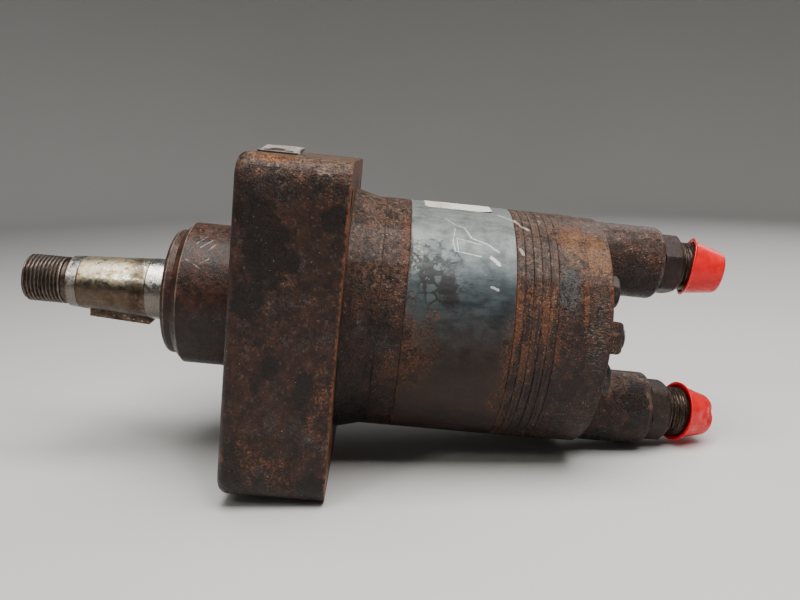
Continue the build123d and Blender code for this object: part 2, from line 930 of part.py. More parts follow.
def commutator():
    """The rotary valve. It follows the nose of the drive link."""
    start = manifold_end + side_gap
    end = commutator_ring_end - side_gap
    body = tube(start, end, commutator_radius, link_nose_radius + commutator_bore_gap)
    slots = around(commutator_slot_count, commutator_slot_circle)
    body = drilled(body, slots, start - overcut, end + overcut, commutator_slot_radius)
    return Pos(0, 0, -commutator_offset) * (body - seal_groove(seat_gap))


def commutator_seal():
    return Pos(0, 0, -commutator_offset) * seal_groove(0)


def bearings():
    """The two roller bearings and the thrust bearing, piece by piece."""
    front = (front_bearing_start, front_bearing_length)
    rear = (rear_bearing_start, rear_bearing_length)
    return {
        "front_outer_race": outer_race(*front, front_outer_radius, front_roller_circle,
                                       front_roller_radius),
        "front_inner_race": inner_race(*front, front_seat_radius, front_roller_circle,
                                       front_roller_radius),
        "front_rollers": bearing_rollers(*front, front_roller_circle, front_roller_radius),
        "front_cage": bearing_cage(*front, front_roller_circle, front_roller_radius),
        "rear_outer_race": outer_race(*rear, rear_outer_radius, rear_roller_circle,
                                      rear_roller_radius),
        "rear_inner_race": inner_race(*rear, rear_seat_radius, rear_roller_circle,
                                      rear_roller_radius),
        "rear_rollers": bearing_rollers(*rear, rear_roller_circle, rear_roller_radius),
        "rear_cage": bearing_cage(*rear, rear_roller_circle, rear_roller_radius),
        "thrust_washer_fixed": thrust_washer(rear_bearing_end, False),
        "thrust_washer_turning": thrust_washer(cup_face - thrust_washer_thickness, True),
        "thrust_rollers": thrust_rollers(),
        "thrust_cage": thrust_cage(),
    }


def pieces():
    """Every node by name."""
    nodes = {
        "housing": housing(),
        "wear_plate": wear_plate(),
        "geroler_ring": geroler_ring(),
        "commutator_ring": commutator_ring(),
        "end_cover": end_cover(),
        "cover_bolts": cover_bolts(),
        "drain_plug": drain_plug(),
        "port_adapter_upper": port_adapter(0),
        "port_adapter_lower": port_adapter(1),
        "port_seals": port_seals(),
        "cap_upper": cap(0),
        "cap_lower": cap(1),
        "name_plate": name_plate(),
        "plate_screws": plate_screws(),
        "label": label(),
        "dust_seal": dust_seal(),
        "backup_washer": backup_washer(),
        "shaft_seal": shaft_seal(),
        "section_seals": section_seals(),
        "output_shaft": output_shaft(),
        "shaft_key": shaft_key(),
        "drive_link": drive_link(),
        "link_spacer": link_spacer(),
        "rotor": rotor(),
        "commutator": commutator(),
        "commutator_seal": commutator_seal(),
    }
    nodes.update(bearings())
    for k in range(manifold_plate_count):
        nodes[f"manifold_plate_{k + 1}"] = manifold_plate(k)
    for k in range(station_count):
        nodes[f"geroler_roller_{k + 1}"] = geroler_roller(k)
    return nodes


os.makedirs("parts", exist_ok=True)
for name, solid in pieces().items():
    export_step(solid, f"parts/{name}.step")
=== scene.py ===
import math
import bmesh
import bpy
import numpy as np
from mathutils import Matrix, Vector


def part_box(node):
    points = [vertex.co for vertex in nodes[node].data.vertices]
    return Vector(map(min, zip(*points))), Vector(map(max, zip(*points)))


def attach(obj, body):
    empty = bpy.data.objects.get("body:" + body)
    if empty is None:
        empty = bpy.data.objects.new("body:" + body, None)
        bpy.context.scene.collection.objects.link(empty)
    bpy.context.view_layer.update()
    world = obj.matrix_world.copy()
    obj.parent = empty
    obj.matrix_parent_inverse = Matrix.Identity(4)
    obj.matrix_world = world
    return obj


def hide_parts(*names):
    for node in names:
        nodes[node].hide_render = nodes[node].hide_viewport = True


# Orbital hydraulic motor, dressed. Everything is in metres in the CAD frame: the shaft axis is X, the
# flange's mounting face is X = 0, the ports are at +X, and the front of the motor is -Y.
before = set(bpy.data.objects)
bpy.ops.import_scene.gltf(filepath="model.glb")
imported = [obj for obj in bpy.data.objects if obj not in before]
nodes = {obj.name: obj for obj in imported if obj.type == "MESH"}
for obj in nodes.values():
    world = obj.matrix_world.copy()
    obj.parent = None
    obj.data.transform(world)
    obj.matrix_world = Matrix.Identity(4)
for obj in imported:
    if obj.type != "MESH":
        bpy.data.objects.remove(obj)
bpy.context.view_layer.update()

# ------------------------------------------------------------
# Camera, lamps and floor. The motor lies on the flange's rear lower edge and on the lower port boss, so
# the floor is a few degrees off the motor's own level. The floor turns up all round into a pale wall.
FLOOR_TILT = math.radians(6.75)
FLOOR_FLAT, FLOOR_OUTSIDE, FLOOR_CURL = 1.9, 3.6, 0.75
floor_along = np.array([math.cos(FLOOR_TILT), 0.0, math.sin(FLOOR_TILT)])
floor_across = np.array([0.0, 1.0, 0.0])
floor_up = np.array([-math.sin(FLOOR_TILT), 0.0, math.cos(FLOOR_TILT)])
floor_rest = np.array([0.063, 0.0, -0.1]) - 0.0004 * floor_up


def looking(name, data, place, right, up):
    """An object at place whose own X is right and own Y is up, so that it looks along -(right x up)."""
    right = np.array(right, float) / np.linalg.norm(right)
    up = np.array(up, float) - np.dot(up, right) * right
    up = up / np.linalg.norm(up)
    back = np.cross(right, up)
    obj = bpy.data.objects.new(name, data)
    bpy.context.scene.collection.objects.link(obj)
    turn = np.eye(4)
    turn[:3, 0], turn[:3, 1], turn[:3, 2], turn[:3, 3] = right, up, back, place
    obj.matrix_world = Matrix(turn.tolist())
    return obj


lens = bpy.data.cameras.new("camera")
lens.sensor_width = 36.0
lens.lens = 32.4
lens.clip_end = 50.0
camera = looking("camera", lens, (0.0779, -0.4866, 0.1075), (0.9945, -0.0231, 0.1026),
                 (-0.0958, 0.2029, 0.9745))
bpy.context.scene.camera = camera


def softbox(name, place, aim, width, height, watts, colour):
    """A flat lamp at place, facing aim."""
    lamp = bpy.data.lights.new(name, "AREA")
    lamp.shape = "RECTANGLE"
    lamp.size, lamp.size_y = width, height
    lamp.energy = watts
    lamp.color = colour
    back = np.array(place, float) - np.array(aim, float)
    right = np.cross((0.0, 0.0, 1.0), back)
    if np.linalg.norm(right) < 1e-6:
        right = np.array([1.0, 0.0, 0.0])
    looking(name, lamp, place, right, np.cross(back, right))


softbox("overhead_lamp", (0.08, -0.22, 1.10), (0.1, 0.0, 0.0), 1.1, 0.85, 27.0, (1.0, 0.985, 0.96))
softbox("front_lamp", (0.22, -0.50, 0.72), (0.1, 0.0, 0.0), 0.06, 0.06, 1.1, (1.0, 0.98, 0.95))
softbox("rear_lamp", (0.9, 0.9, 0.9), (0.1, 0.0, 0.0), 0.9, 0.9, 5.0, (0.95, 0.97, 1.0))
softbox("left_lamp", (-0.55, -0.75, 0.75), (0.0, 0.0, 0.0), 0.16, 0.16, 1.6, (1.0, 0.97, 0.93))

world = bpy.data.worlds.new("room")
bpy.context.scene.world = world
world.use_nodes = True
world.node_tree.nodes["Background"].inputs["Color"].default_value = (0.80, 0.79, 0.78, 1.0)
world.node_tree.nodes["Background"].inputs["Strength"].default_value = 0.14


class Finish:
    """A surface finish as a node recipe. Patterns sit on Object coordinates; lengths are in metres."""

    def __init__(self, name, roughness=0.5, metal=0.0):
        self.material = bpy.data.materials.new(name)
        self.material.use_nodes = True
        self.tree = self.material.node_tree
        self.tree.nodes.clear()
        out = self.add("ShaderNodeOutputMaterial")
        self.shader = self.add("ShaderNodeBsdfPrincipled")
        self.tree.links.new(self.shader.outputs[0], out.inputs["Surface"])
        self.fixed({"Roughness": roughness, "Metallic": metal})
        self.place = self.add("ShaderNodeTexCoord").outputs["Object"]
        self.tint = self.edge = None

    def add(self, kind, **settings):
        """A new node."""
        node = self.tree.nodes.new(kind)
        for key, value in settings.items():
            setattr(node, key, value)
        return node

    def feed(self, socket, value):
        """Link a socket, or set it to a number, a vector or a colour."""
        if isinstance(value, bpy.types.NodeSocket):
            self.tree.links.new(value, socket)
        elif isinstance(value, (tuple, list)) and len(value) == 3 and socket.type == "RGBA":
            socket.default_value = (*value, 1.0)
        else:
            socket.default_value = value

    def sum(self, kind, a, b=0.0, c=0.0, hold=False):
        """One arithmetic step on numbers."""
        node = self.add("ShaderNodeMath", operation=kind, use_clamp=hold)
        for socket, value in zip(node.inputs, (a, b, c)):
            self.feed(socket, value)
        return node.outputs[0]

    def times(self, *values):
        """Several values multiplied."""
        product = values[0]
        for value in values[1:]:
            product = self.sum("MULTIPLY", product, value)
        return product

    def line(self, value, slope, level):
        """Value times slope, plus level."""
        return self.sum("MULTIPLY_ADD", value, slope, level)

    def parts(self, a, share, b, other_share):
        """a times its share plus b times its own."""
        return self.line(a, share, self.times(b, other_share))

    def sway(self, value, noise, amount):
        """Value moved up or down by amount times how far noise is from a half."""
        return self.line(self.sum("SUBTRACT", noise, 0.5), amount, value)

    def move(self, kind, a, b=(0.0, 0.0, 0.0)):
        """One arithmetic step on vectors."""
        node = self.add("ShaderNodeVectorMath", operation=kind)
        self.feed(node.inputs[0], a)
        self.feed(node.inputs[1], b)
        return node.outputs["Value" if kind in ("LENGTH", "DISTANCE", "DOT_PRODUCT") else 0]

    def scaled(self, size, stretch, start):
        """Object coordinates counted in sizes, moved by start."""
        where = self.add("ShaderNodeMapping")
        self.feed(where.inputs["Vector"], self.place)
        where.inputs["Location"].default_value = start
        where.inputs["Scale"].default_value = tuple(1.0 / (size * s) for s in stretch)
        return where.outputs[0]

    def grain(self, size, detail=3.0, rough=0.55, stretch=(1.0, 1.0, 1.0), shift=0.0, bend=0.0):
        """Cloudy noise whose lumps are about size across, 0 to 1."""
        noise = self.add("ShaderNodeTexNoise")
        where = self.scaled(size, stretch, (shift, 0.7 * shift, -0.4 * shift))
        for key, value in (("Vector", where), ("Scale", 1.0), ("Detail", detail), ("Roughness", rough),
                           ("Distortion", bend)):
            self.feed(noise.inputs[key], value)
        return noise.outputs["Fac"]

    def pits(self, size, shift=0.0, stretch=(1.0, 1.0, 1.0), kind="F1"):
        """Distance to the nearest of scattered points about size apart, or to their borders."""
        cells = self.add("ShaderNodeTexVoronoi", feature=kind)
        self.feed(cells.inputs["Vector"], self.scaled(size, stretch, (shift, -shift, 0.5 * shift)))
        cells.inputs["Scale"].default_value = 1.0
        return cells.outputs["Distance"]

    def ramp(self, value, low, high, start=0.0, end=1.0):
        """A soft step: start below low and end above high."""
        node = self.add("ShaderNodeMapRange", interpolation_type="SMOOTHSTEP")
        for key, number in (("Value", value), ("From Min", low), ("From Max", high), ("To Min", start),
                            ("To Max", end)):
            self.feed(node.inputs[key], number)
        return node.outputs["Result"]

    def fall(self, value, low, high):
        """A soft step down: 1 below low and 0 above high."""
        return self.ramp(value, low, high, 1.0, 0.0)

    def blend(self, mask, under, over):
        """The colour over laid on the colour under where mask is 1."""
        node = self.add("ShaderNodeMix", data_type="RGBA")
        self.feed(node.inputs[0], mask)
        self.feed(node.inputs[6], under)
        self.feed(node.inputs[7], over)
        return node.outputs[2]

    def shade(self, value, low, high, under, over):
        """The colour under where value is below low, and over where it is above high."""
        return self.blend(self.ramp(value, low, high), under, over)

    def most(self, *masks):
        """The greatest of several masks."""
        top = masks[0]
        for mask in masks[1:]:
            top = self.sum("MAXIMUM", top, mask)
        return top

    def split(self, vector, letter):
        """One of a vector's three numbers."""
        node = self.add("ShaderNodeSeparateXYZ")
        self.feed(node.inputs[0], vector)
        return node.outputs[letter]

    def axis(self, letter):
        """Place along an axis."""
        return self.split(self.place, letter)

    def past(self, letter, *steps):
        """A soft step along an axis, its ends given as for ramp."""
        return self.ramp(self.axis(letter), *steps)

    def reach(self):
        """Distance from the shaft's axis."""
        return self.move("LENGTH", self.move("MULTIPLY", self.place, (0.0, 1.0, 1.0)))

    def facing(self, letter):
        """How far the surface faces along an axis, -1 to 1."""
        return self.split(self.add("ShaderNodeNewGeometry").outputs["Normal"], letter)

    def spot(self, centre, reach, ragged=1.0, core=0.5):
        """1 near centre, 0 at about reach, both (x, y, z) in mm, with an outline that follows the
        finish's edge noise."""
        gap = self.move("SUBTRACT", self.place, tuple(0.001 * v for v in centre))
        gap = self.move("DIVIDE", gap, tuple(0.001 * v for v in reach))
        far = self.sway(self.move("LENGTH", gap), self.edge, 2.0 * ragged)
        return self.fall(far, core, 1.0)

    def spots(self, *places):
        """The greatest of several spots, each given as for spot."""
        return self.most(*[self.spot(*place) for place in places])

    def scratch(self, start, end, width, edge, ragged=0.35):
        """A thin line from start to end (mm), width across, broken by edge."""
        start, end = 0.001 * np.array(start, float), 0.001 * np.array(end, float)
        run = end - start
        gap = self.move("SUBTRACT", self.place, tuple(start))
        along = self.sum("DIVIDE", self.move("DOT_PRODUCT", gap, tuple(run)), float(run @ run),
                         hold=True)
        back = self.move("SCALE", tuple(run))
        self.feed(back.node.inputs["Scale"], along)
        off = self.move("LENGTH", self.move("SUBTRACT", gap, back))
        off = self.sway(off, edge, 0.001 * width * ragged * 4.0)
        return self.fall(off, 0.0003 * width, 0.0006 * width)

    def band(self, letter, start, end, soft=0.3):
        """1 between start and end (mm) along an axis."""
        value = self.axis(letter)
        low = self.ramp(value, 0.001 * (start - soft), 0.001 * (start + soft))
        return self.times(low, self.fall(value, 0.001 * (end - soft), 0.001 * (end + soft)))

    def relief(self, *layers):
        """Bumps, each (height 0 to 1, depth in metres), one on the other."""
        normal = None
        for height, depth in layers:
            bump = self.add("ShaderNodeBump")
            bump.inputs["Strength"].default_value = 1.0
            bump.inputs["Distance"].default_value = depth
            self.feed(bump.inputs["Height"], height)
            if normal:
                self.feed(bump.inputs["Normal"], normal)
            normal = bump.outputs[0]
        self.feed(self.shader.inputs["Normal"], normal)

    def colour(self, value):
        """The finish's colour so far."""
        self.tint = value
        self.feed(self.shader.inputs["Base Color"], value)

    def base(self, value, low, high, under, over):
        """Two shades as the finish's first colour."""
        self.colour(self.shade(value, low, high, under, over))

    def lay(self, mask, over, strength=None):
        """Lay a colour over the finish's colour so far where mask is 1, at no more than strength."""
        if strength is not None:
            mask = self.times(mask, strength)
        self.colour(self.blend(mask, self.tint, over))

    def gloss(self, value):
        """How rough the finish is, 0 to 1."""
        self.feed(self.shader.inputs["Roughness"], value)

    def metal(self, value):
        """How much of a metal it is, 0 to 1."""
        self.feed(self.shader.inputs["Metallic"], value)

    def fixed(self, settings):
        """Shader values that are the same all over, by name."""
        for name, value in settings.items():
            self.shader.inputs[name].default_value = value

    def on(self, *objects):
        """Every slot of each object gets this finish."""
        for obj in objects:
            obj = nodes[obj] if isinstance(obj, str) else obj
            if not obj.data.materials:
                obj.data.materials.append(self.material)
            for slot in range(len(obj.material_slots)):
                obj.material_slots[slot].link = "DATA"
                obj.material_slots[slot].material = self.material


def skin(name, grids, wrap_rows=False, crease=32.0):
    """Quads over grids of points (rows, columns, 3) whose columns close round. Rows that shrink to one
    point become poles, and with wrap_rows the last row joins the first. Faces point outwards."""
    work = bmesh.new()
    for grid in grids if isinstance(grids, list) else [grids]:
        rows, columns = grid.shape[:2]
        index = np.arange(rows * columns).reshape(rows, columns)
        if wrap_rows:
            index = np.vstack([index, index[:1]])
        near, far = index[:-1], index[1:]
        quads = np.stack([near, np.roll(near, -1, 1), np.roll(far, -1, 1), far], -1).reshape(-1, 4)
        sheet = bpy.data.meshes.new(name)
        sheet.from_pydata(grid.reshape(-1, 3).tolist(), [], quads.tolist())
        work.from_mesh(sheet)
        bpy.data.meshes.remove(sheet)
    bmesh.ops.remove_doubles(work, verts=work.verts, dist=1e-7)
    bmesh.ops.recalc_face_normals(work, faces=work.faces)
    mesh = bpy.data.meshes.new(name)
    work.to_mesh(mesh)
    work.free()
    mesh.shade_smooth()
    mesh.set_sharp_from_angle(angle=math.radians(crease))
    obj = bpy.data.objects.new(name, mesh)
    bpy.context.scene.collection.objects.link(obj)
    return obj


def floor_sheet():
    """A disc on the floor's tilted plane, centre + r (cos t along + sin t across), whose outside turns
    up: beyond the flat part the height grows with the square of the distance."""
    radius = np.concatenate([[0.0, 1.0], np.linspace(FLOOR_FLAT, FLOOR_OUTSIDE, 18)])[:, None, None]
    height = FLOOR_CURL * np.clip(radius - FLOOR_FLAT, 0.0, None) ** 2
    turn = np.linspace(0.0, 2.0 * np.pi, 97)[None, :-1, None]
    flat = radius * (np.cos(turn) * floor_along + np.sin(turn) * floor_across)
    return floor_rest + flat + height * floor_up


floor = skin("floor", floor_sheet())
pale_floor = Finish("pale floor", roughness=0.7)
pale_floor.colour(pale_floor.blend(pale_floor.grain(0.9, 2.0), (0.60, 0.59, 0.575),
                                   (0.66, 0.65, 0.635)))
pale_floor.on(floor)

# ------------------------------------------------------------
# Front casting: pilot, square flange and barrel in one piece of cast iron. It is sand-cast, turned on
# the pilot, and now carries a crust of brown rust with black oil soaked into it.
IRON_BLACK = (0.0075, 0.0042, 0.0034)
IRON_DARK = (0.031, 0.0112, 0.0068)
IRON_BROWN = (0.088, 0.033, 0.019)
IRON_PALE = (0.235, 0.140, 0.090)
SCALE_GREY = (0.085, 0.080, 0.078)
RUST = (0.115, 0.036, 0.017)
RUST_BRIGHT = (0.32, 0.128, 0.044)
FLAKE = (0.34, 0.235, 0.165)
# Colour of the painted glints.
GLINT_SPECK = (0.56, 0.47, 0.38)


class Crust(Finish):
    """Rusty iron: fine dark grains, with pale dust and painted top light on upward faces and painted
    shade on downward ones, lumps and pits, rust in fields, black oil in blots, and painted glints as
    bright specks. rough is how much of the depth a place gets, 0 to 1."""

    def __init__(self, name, depth=0.00034, shift=0.0, rusty=0.0, chips=0.69, size=0.0010):
        super().__init__(name)
        self.edge = self.grain(0.010, 6.0, 0.68, shift=shift + 3.0)
        self.wide = self.grain(0.045, 3.0, 0.55, shift=shift)
        self.fine = self.grain(size, 4.0, 0.62, shift=shift + 5.0)
        self.lump = self.grain(size * 3.4, 4.0, 0.62, shift=shift + 9.0)
        self.pit = self.fall(self.pits(size * 2.6, shift), 0.08, 0.36)
        self.pit = self.times(self.pit, self.ramp(self.edge, 0.46, 0.62, 0.15, 1.0))
        # dust scales the pale dust and painted top light on upward faces, and the pale flakes.
        self.depth, self.shift, self.chips, self.rough, self.dust = depth, shift, chips, 1.0, 1.0
        grains = self.parts(self.fine, 0.60, self.lump, 0.40)
        self.grains = self.line(self.pit, -0.10, grains)
        self.tone = self.parts(self.edge, 0.55, self.grains, 0.45)
        level = self.parts(self.wide, 0.6, self.edge, 0.4)
        self.rust_level = self.sum("ADD", level, rusty)

    def more_rust(self, *spots):
        """Each (centre, reach, amount) raises or lowers the rust round a place, in mm."""
        for centre, reach, amount in spots:
            spot = self.spot(centre, reach, 0.9, 0.2)
            self.rust_level = self.line(spot, amount, self.rust_level)

    def gild(self, centre, reach):
        """A golden bloom of rust round a place, in mm."""
        gold = self.times(self.spot(centre, reach, 1.0, 0.3), self.ramp(self.grains, 0.42, 0.58))
        self.lay(gold, (0.30, 0.170, 0.070), 0.6)

    def done(self, oil=(), bloom=0.55, extra=None):
        """Mix the layers. oil holds (centre, reach) blots in mm, bloom sets the pale dust and painted
        top light on upward faces, and extra lays the last colours.
        """
        self.base(self.tone, 0.38, 0.50, IRON_BLACK, IRON_DARK)
        self.lay(self.ramp(self.tone, 0.47, 0.64), IRON_BROWN)
        grey = self.ramp(self.grain(0.018, 5.0, 0.65, shift=self.shift + 21.0), 0.52, 0.66)
        grey = self.times(grey, self.ramp(self.fine, 0.44, 0.62))
        self.lay(grey, SCALE_GREY, 0.7)
        # Pale dust and painted top light: faces that turn upwards are painted paler, more so on raised
        # grains.
        up = self.ramp(self.facing("Z"), 0.05, 0.98)
        dust_and_top_light = self.times(up, self.ramp(self.grains, 0.43, 0.57), self.times(self.dust, bloom))
        self.lay(dust_and_top_light, IRON_PALE)
        sift = self.sway(self.sway(self.rust_level, self.fine, 0.55), self.lump, 0.35)
        rust = self.shade(self.fine, 0.48, 0.70, RUST, RUST_BRIGHT)
        self.lay(self.ramp(sift, 0.56, 0.70), rust, 0.85)
        # Painted shade: faces that turn downwards are painted towards black.
        self.lay(self.ramp(self.facing("Z"), -0.55, 0.35, 0.55, 0.0), IRON_BLACK)
        blot = self.ramp(self.grain(0.0058, 5.0, 0.7, shift=self.shift + 31.0), 0.52, 0.61)
        self.lay(blot, IRON_BLACK, 0.62)
        flake = self.ramp(self.grain(0.0042, 5.0, 0.72, shift=self.shift + 37.0), 0.57, 0.65)
        flake = self.times(flake, self.ramp(self.facing("Z"), -0.2, 0.9, 0.10, 0.55))
        self.lay(self.times(flake, self.dust), FLAKE)
        wet = self.times(blot, 0.35)
        for centre, reach in oil:
            wet = self.most(wet, self.spot(centre, reach, 0.75, 0.75))
        self.lay(wet, IRON_BLACK, 0.86)
        # Painted glints: scattered bright specks where the edge noise is high.
        chip = self.ramp(self.grain(0.00085, 2.0, 0.5, shift=self.shift + 13.0), self.chips,
                         self.chips + 0.035)
        self.lay(self.times(chip, self.ramp(self.edge, 0.40, 0.56)), GLINT_SPECK)
        if extra:
            extra(self)
        dry = self.ramp(self.grains, 0.34, 0.62, 0.27, 0.60)
        self.gloss(self.line(wet, -0.14, dry))
        self.fixed({"Specular IOR Level": 0.27, "Coat Weight": 0.10, "Coat Roughness": 0.14})
        self.relief((self.edge, self.depth * 2.5),
                    (self.times(self.lump, self.rough), self.depth * 7.0),
                    (self.times(self.line(self.pit, -0.6, self.fine), self.rough), self.depth * 4.6))


casting = Crust("front casting", rusty=-0.045, chips=0.735)
casting_barrel = casting.past("X", 0.0615, 0.0645)
casting_brow = casting.ramp(casting.line(casting.edge, 0.020, casting.axis("Z")), 0.086, 0.100)
casting_neck = casting.past("X", -0.0015, 0.0)
casting.rough = casting.line(casting.most(casting_barrel, casting_brow), 0.66, 0.34)
casting.rough = casting.times(casting.rough, casting.line(casting_neck, 0.45, 0.55))
# The flange's brow gets the most pale dust and painted top light, and the pilot the least.
casting.dust = casting.line(casting_brow, 0.5, casting.line(casting_neck, 0.9, 0.25))
casting.more_rust(
    ((18, -97, 99), (22, 12, 4.5), 0.42),
    ((56, -100, -35), (14, 20, 45), 0.035),
    ((28, -100, -84), (24, 20, 12), 0.05),
    ((60, 100, 60), (30, 25, 60), 0.12),
    ((80, -74, -20), (12, 25, 45), 0.08),
    ((80, 0, 78), (20, 70, 22), 0.04),
    ((-30, 0, 0), (44, 110, 110), -0.42),
)


def casting_marks(iron):
    """Rust along the flange's rear edge, bright scratches and painted highlights on the rims of the
    pilot, and an orange bloom on the flange's upper front corner."""
    rear_edge = iron.sway(iron.axis("X"), iron.lump, 0.005)
    rear_edge = iron.times(iron.ramp(rear_edge, 0.0614, 0.0630),
                           iron.fall(iron.axis("X"), 0.0632, 0.0636))
    rear_edge = iron.times(rear_edge, iron.ramp(iron.lump, 0.38, 0.58, 0.25, 1.0))
    square = iron.ramp(iron.reach(), 0.086, 0.094)
    iron.lay(iron.times(rear_edge, square), (0.21, 0.078, 0.034))
    lines = iron.most(*[iron.scratch(a, b, 0.75, iron.fine, 0.6) for a, b in (
        ((-38, -38, 29.0), (-29, -41, 24.6)), ((-29, -39, 27.5), (-23.5, -37, 30.5)),
        ((-31, -31, 36), (-24, -25, 41)), ((-34, -29, 38), (-29, -23, 42)),
        ((-26, -33, 34), (-22, -28, 39)))])
    lines = iron.times(lines, iron.ramp(iron.lump, 0.42, 0.54, 0.15, 0.85))
    iron.lay(lines, (0.34, 0.31, 0.27))
    # Painted highlights: thin pale lines along the pilot's nose rims, and a faint one near the flange.
    rims = iron.most(iron.band("X", -41.9, -41.1, 0.3), iron.band("X", -50.8, -50.1, 0.3),
                     iron.times(iron.band("X", -6.0, -5.2, 0.3), 0.5))
    rims = iron.times(rims, iron.ramp(iron.edge, 0.40, 0.60, 0.2, 0.8),
                      iron.ramp(iron.reach(), 0.060, 0.055))
    iron.lay(rims, (0.22, 0.165, 0.130))
    glow = iron.times(iron.spot((18, -98, 99), (22, 12, 4), 0.9, 0.3), iron.ramp(iron.fine, 0.46, 0.60))
    iron.lay(glow, (0.50, 0.225, 0.070), 0.8)


casting.done(oil=(
    ((19, -100, 50), (15, 30, 26)), ((14, -100, 69), (14, 30, 12)), ((31, -100, 44), (9, 30, 9)),
    ((12, -100, 20), (10, 30, 16)), ((58, -100, -88), (14, 30, 9)),
    ((8, -100, -84), (9, 30, 22)), ((27, -100, -17), (5, 20, 9)), ((46, -100, -28), (6, 20, 12)),
    ((56, -100, 68), (9, 30, 9)), ((40, 100, -40), (22, 30, 28)), ((22, 100, 62), (16, 30, 20)),
    ((0, 30, -70), (9, 26, 18)), ((72, -55, -62), (14, 40, 26))), extra=casting_marks)
casting.on("housing")

# ------------------------------------------------------------
# Stack: wear plate, geroler ring, manifold plates and commutator ring, turned from steel and clamped
# between the castings. The ring keeps its ground finish, and the thinner plates have rusted over.
wear_crust = Crust("wear plate crust", depth=0.00042, shift=2.0)
wear_crust.more_rust(((97, -50, 58), (5, 30, 34), 0.34), ((93, -77, -12), (12, 20, 30), 0.10))
wear_crust.done(oil=(((92, -40, -66), (14, 36, 14)),))
wear_crust.on("wear_plate")

RING_BLUE = (0.024, 0.034, 0.038)
RING_MID = (0.060, 0.077, 0.081)
RING_HIGHLIGHT = (0.200, 0.214, 0.203)
STAIN_BROWN = (0.055, 0.036, 0.024)

ring = Finish("geroler ring steel")
ring.edge = ring.grain(0.009, 6.0, 0.66, shift=4.0)
ring_fine = ring.grain(0.0014, 5.0, 0.68, shift=6.0)
ring_cloud = ring.grain(0.030, 5.0, 0.62, stretch=(1.6, 1.0, 1.0), shift=1.0)
ring_smear = ring.grain(0.0035, 5.0, 0.66, stretch=(5.0, 1.0, 1.0), shift=8.0)
ring_tone = ring.parts(ring_cloud, 0.45, ring.edge, 0.30)
ring_tone = ring.line(ring_smear, 0.25, ring_tone)
ring.base(ring_tone, 0.40, 0.60, RING_BLUE, RING_MID)
# Painted highlight: the ring's upward faces are painted pale grey.
ring_top_facing = ring.ramp(ring.line(ring.edge, 0.5, ring.facing("Z")), 0.72, 1.22)
ring_top_highlight = ring.times(ring_top_facing, ring.ramp(ring_tone, 0.36, 0.58, 0.45, 1.0))
ring.lay(ring_top_highlight, RING_HIGHLIGHT)
ring_powder = ring.spot((104, -58, 52), (7, 22, 26), 0.9, 0.3)
ring_powder = ring.times(ring_powder, ring.ramp(ring_fine, 0.45, 0.62))
ring.lay(ring_powder, (0.34, 0.35, 0.29), 0.6)
ring_patch = ring.spots(((115, -66, 38), (18, 30, 24), 1.5, 0.45),
                        ((126, -70, 34), (11, 24, 15), 1.3, 0.4),
                        ((110, 66, 30), (16, 26, 22), 1.4, 0.5))
ring_isle = ring.sway(ring.pits(0.0062, 3.0, kind="DISTANCE_TO_EDGE"), ring_fine, 0.6)
ring_isle = ring.sway(ring_isle, ring.edge, -0.9)
ring_core = ring.spot((127, -69, 33), (11, 20, 15), 1.1, 0.5)
ring_film = ring.most(ring.fall(ring_isle, 0.12, 0.19), ring_core)
ring.lay(ring_patch, (0.098, 0.118, 0.122), 0.5)
ring.lay(ring.times(ring_patch, ring_film), (0.019, 0.019, 0.019), 0.92)
# Partly oil stain and partly painted shade: below the ring's top the colour is painted dark brown, and
# the steel is less metallic and rougher there.
ring_low = ring.fall(ring.line(ring.edge, 0.050, ring.axis("Z")), 0.010, 0.066)
ring_under = ring.shade(ring_tone, 0.42, 0.60, (0.0085, 0.0036, 0.0026), (0.028, 0.0125, 0.0080))
ring.lay(ring_low, ring_under)
ring_bites = ring.spots(((101, -76, -6), (24, 40, 34), 1.4, 0.3),
                        ((165, -72, -8), (9, 40, 34), 1.2, 0.4), ((99, -60, 48), (3, 40, 26), 0.8, 0.3),
                        ((164, 60, -10), (14, 40, 40), 1.2, 0.5), ((118, -76, 16), (4, 9, 4), 1.2, 0.3),
                        ((160, -68, -36), (6, 20, 12), 1.0, 0.4))
ring_bites = ring.times(ring_bites, ring.ramp(ring.parts(ring_fine, 0.5, ring.edge, 0.5), 0.42, 0.56))
ring_rust = ring.shade(ring_fine, 0.42, 0.66, (0.080, 0.034, 0.020), (0.20, 0.080, 0.034))
ring.lay(ring_bites, ring_rust, 0.85)
ring_scribble = ring.most(*[ring.scratch(a, b, w, ring_fine) for a, b, w in (
    ((121, -33, 70.2), (126, -38, 67.6), 0.9), ((126, -38, 67.6), (133, -41, 65.8), 0.7),
    ((133, -41, 65.8), (137, -48, 60.9), 1.2), ((137, -48, 60.9), (147, -51, 58.4), 0.9),
    ((147, -51, 58.4), (154, -55, 54.6), 0.8), ((127, -42, 65.2), (125.6, -51, 58.4), 0.6),
    ((125.6, -51, 58.4), (127, -56.4, 53.2), 0.6), ((128, -49, 60.1), (143, -51.6, 57.9), 0.6),
    ((127, -56.4, 53.2), (143, -58, 51.4), 0.6), ((128, -49, 60.1), (129, -56.2, 53.4), 0.6),
    ((149, -58, 51.5), (154, -61, 48.2), 2.6), ((150, -69, 35.4), (153.5, -69.6, 34.2), 1.7),
    ((156, -22, 74.4), (164.4, -27.5, 72.5), 2.2), ((113, 52, 57.5), (131, 58, 51.4), 0.8))])
ring.lay(ring_scribble, (0.42, 0.42, 0.40), 0.8)
ring_speck = ring.ramp(ring.grain(0.0011, 2.0, 0.5, shift=15.0), 0.70, 0.74)
ring.lay(ring_speck, STAIN_BROWN, 0.8)
ring_joint = ring.times(ring.sum("SUBTRACT", 1.0, ring.band("X", 100.2, 164.4, 0.5)),
                        ring.ramp(ring.edge, 0.42, 0.58))
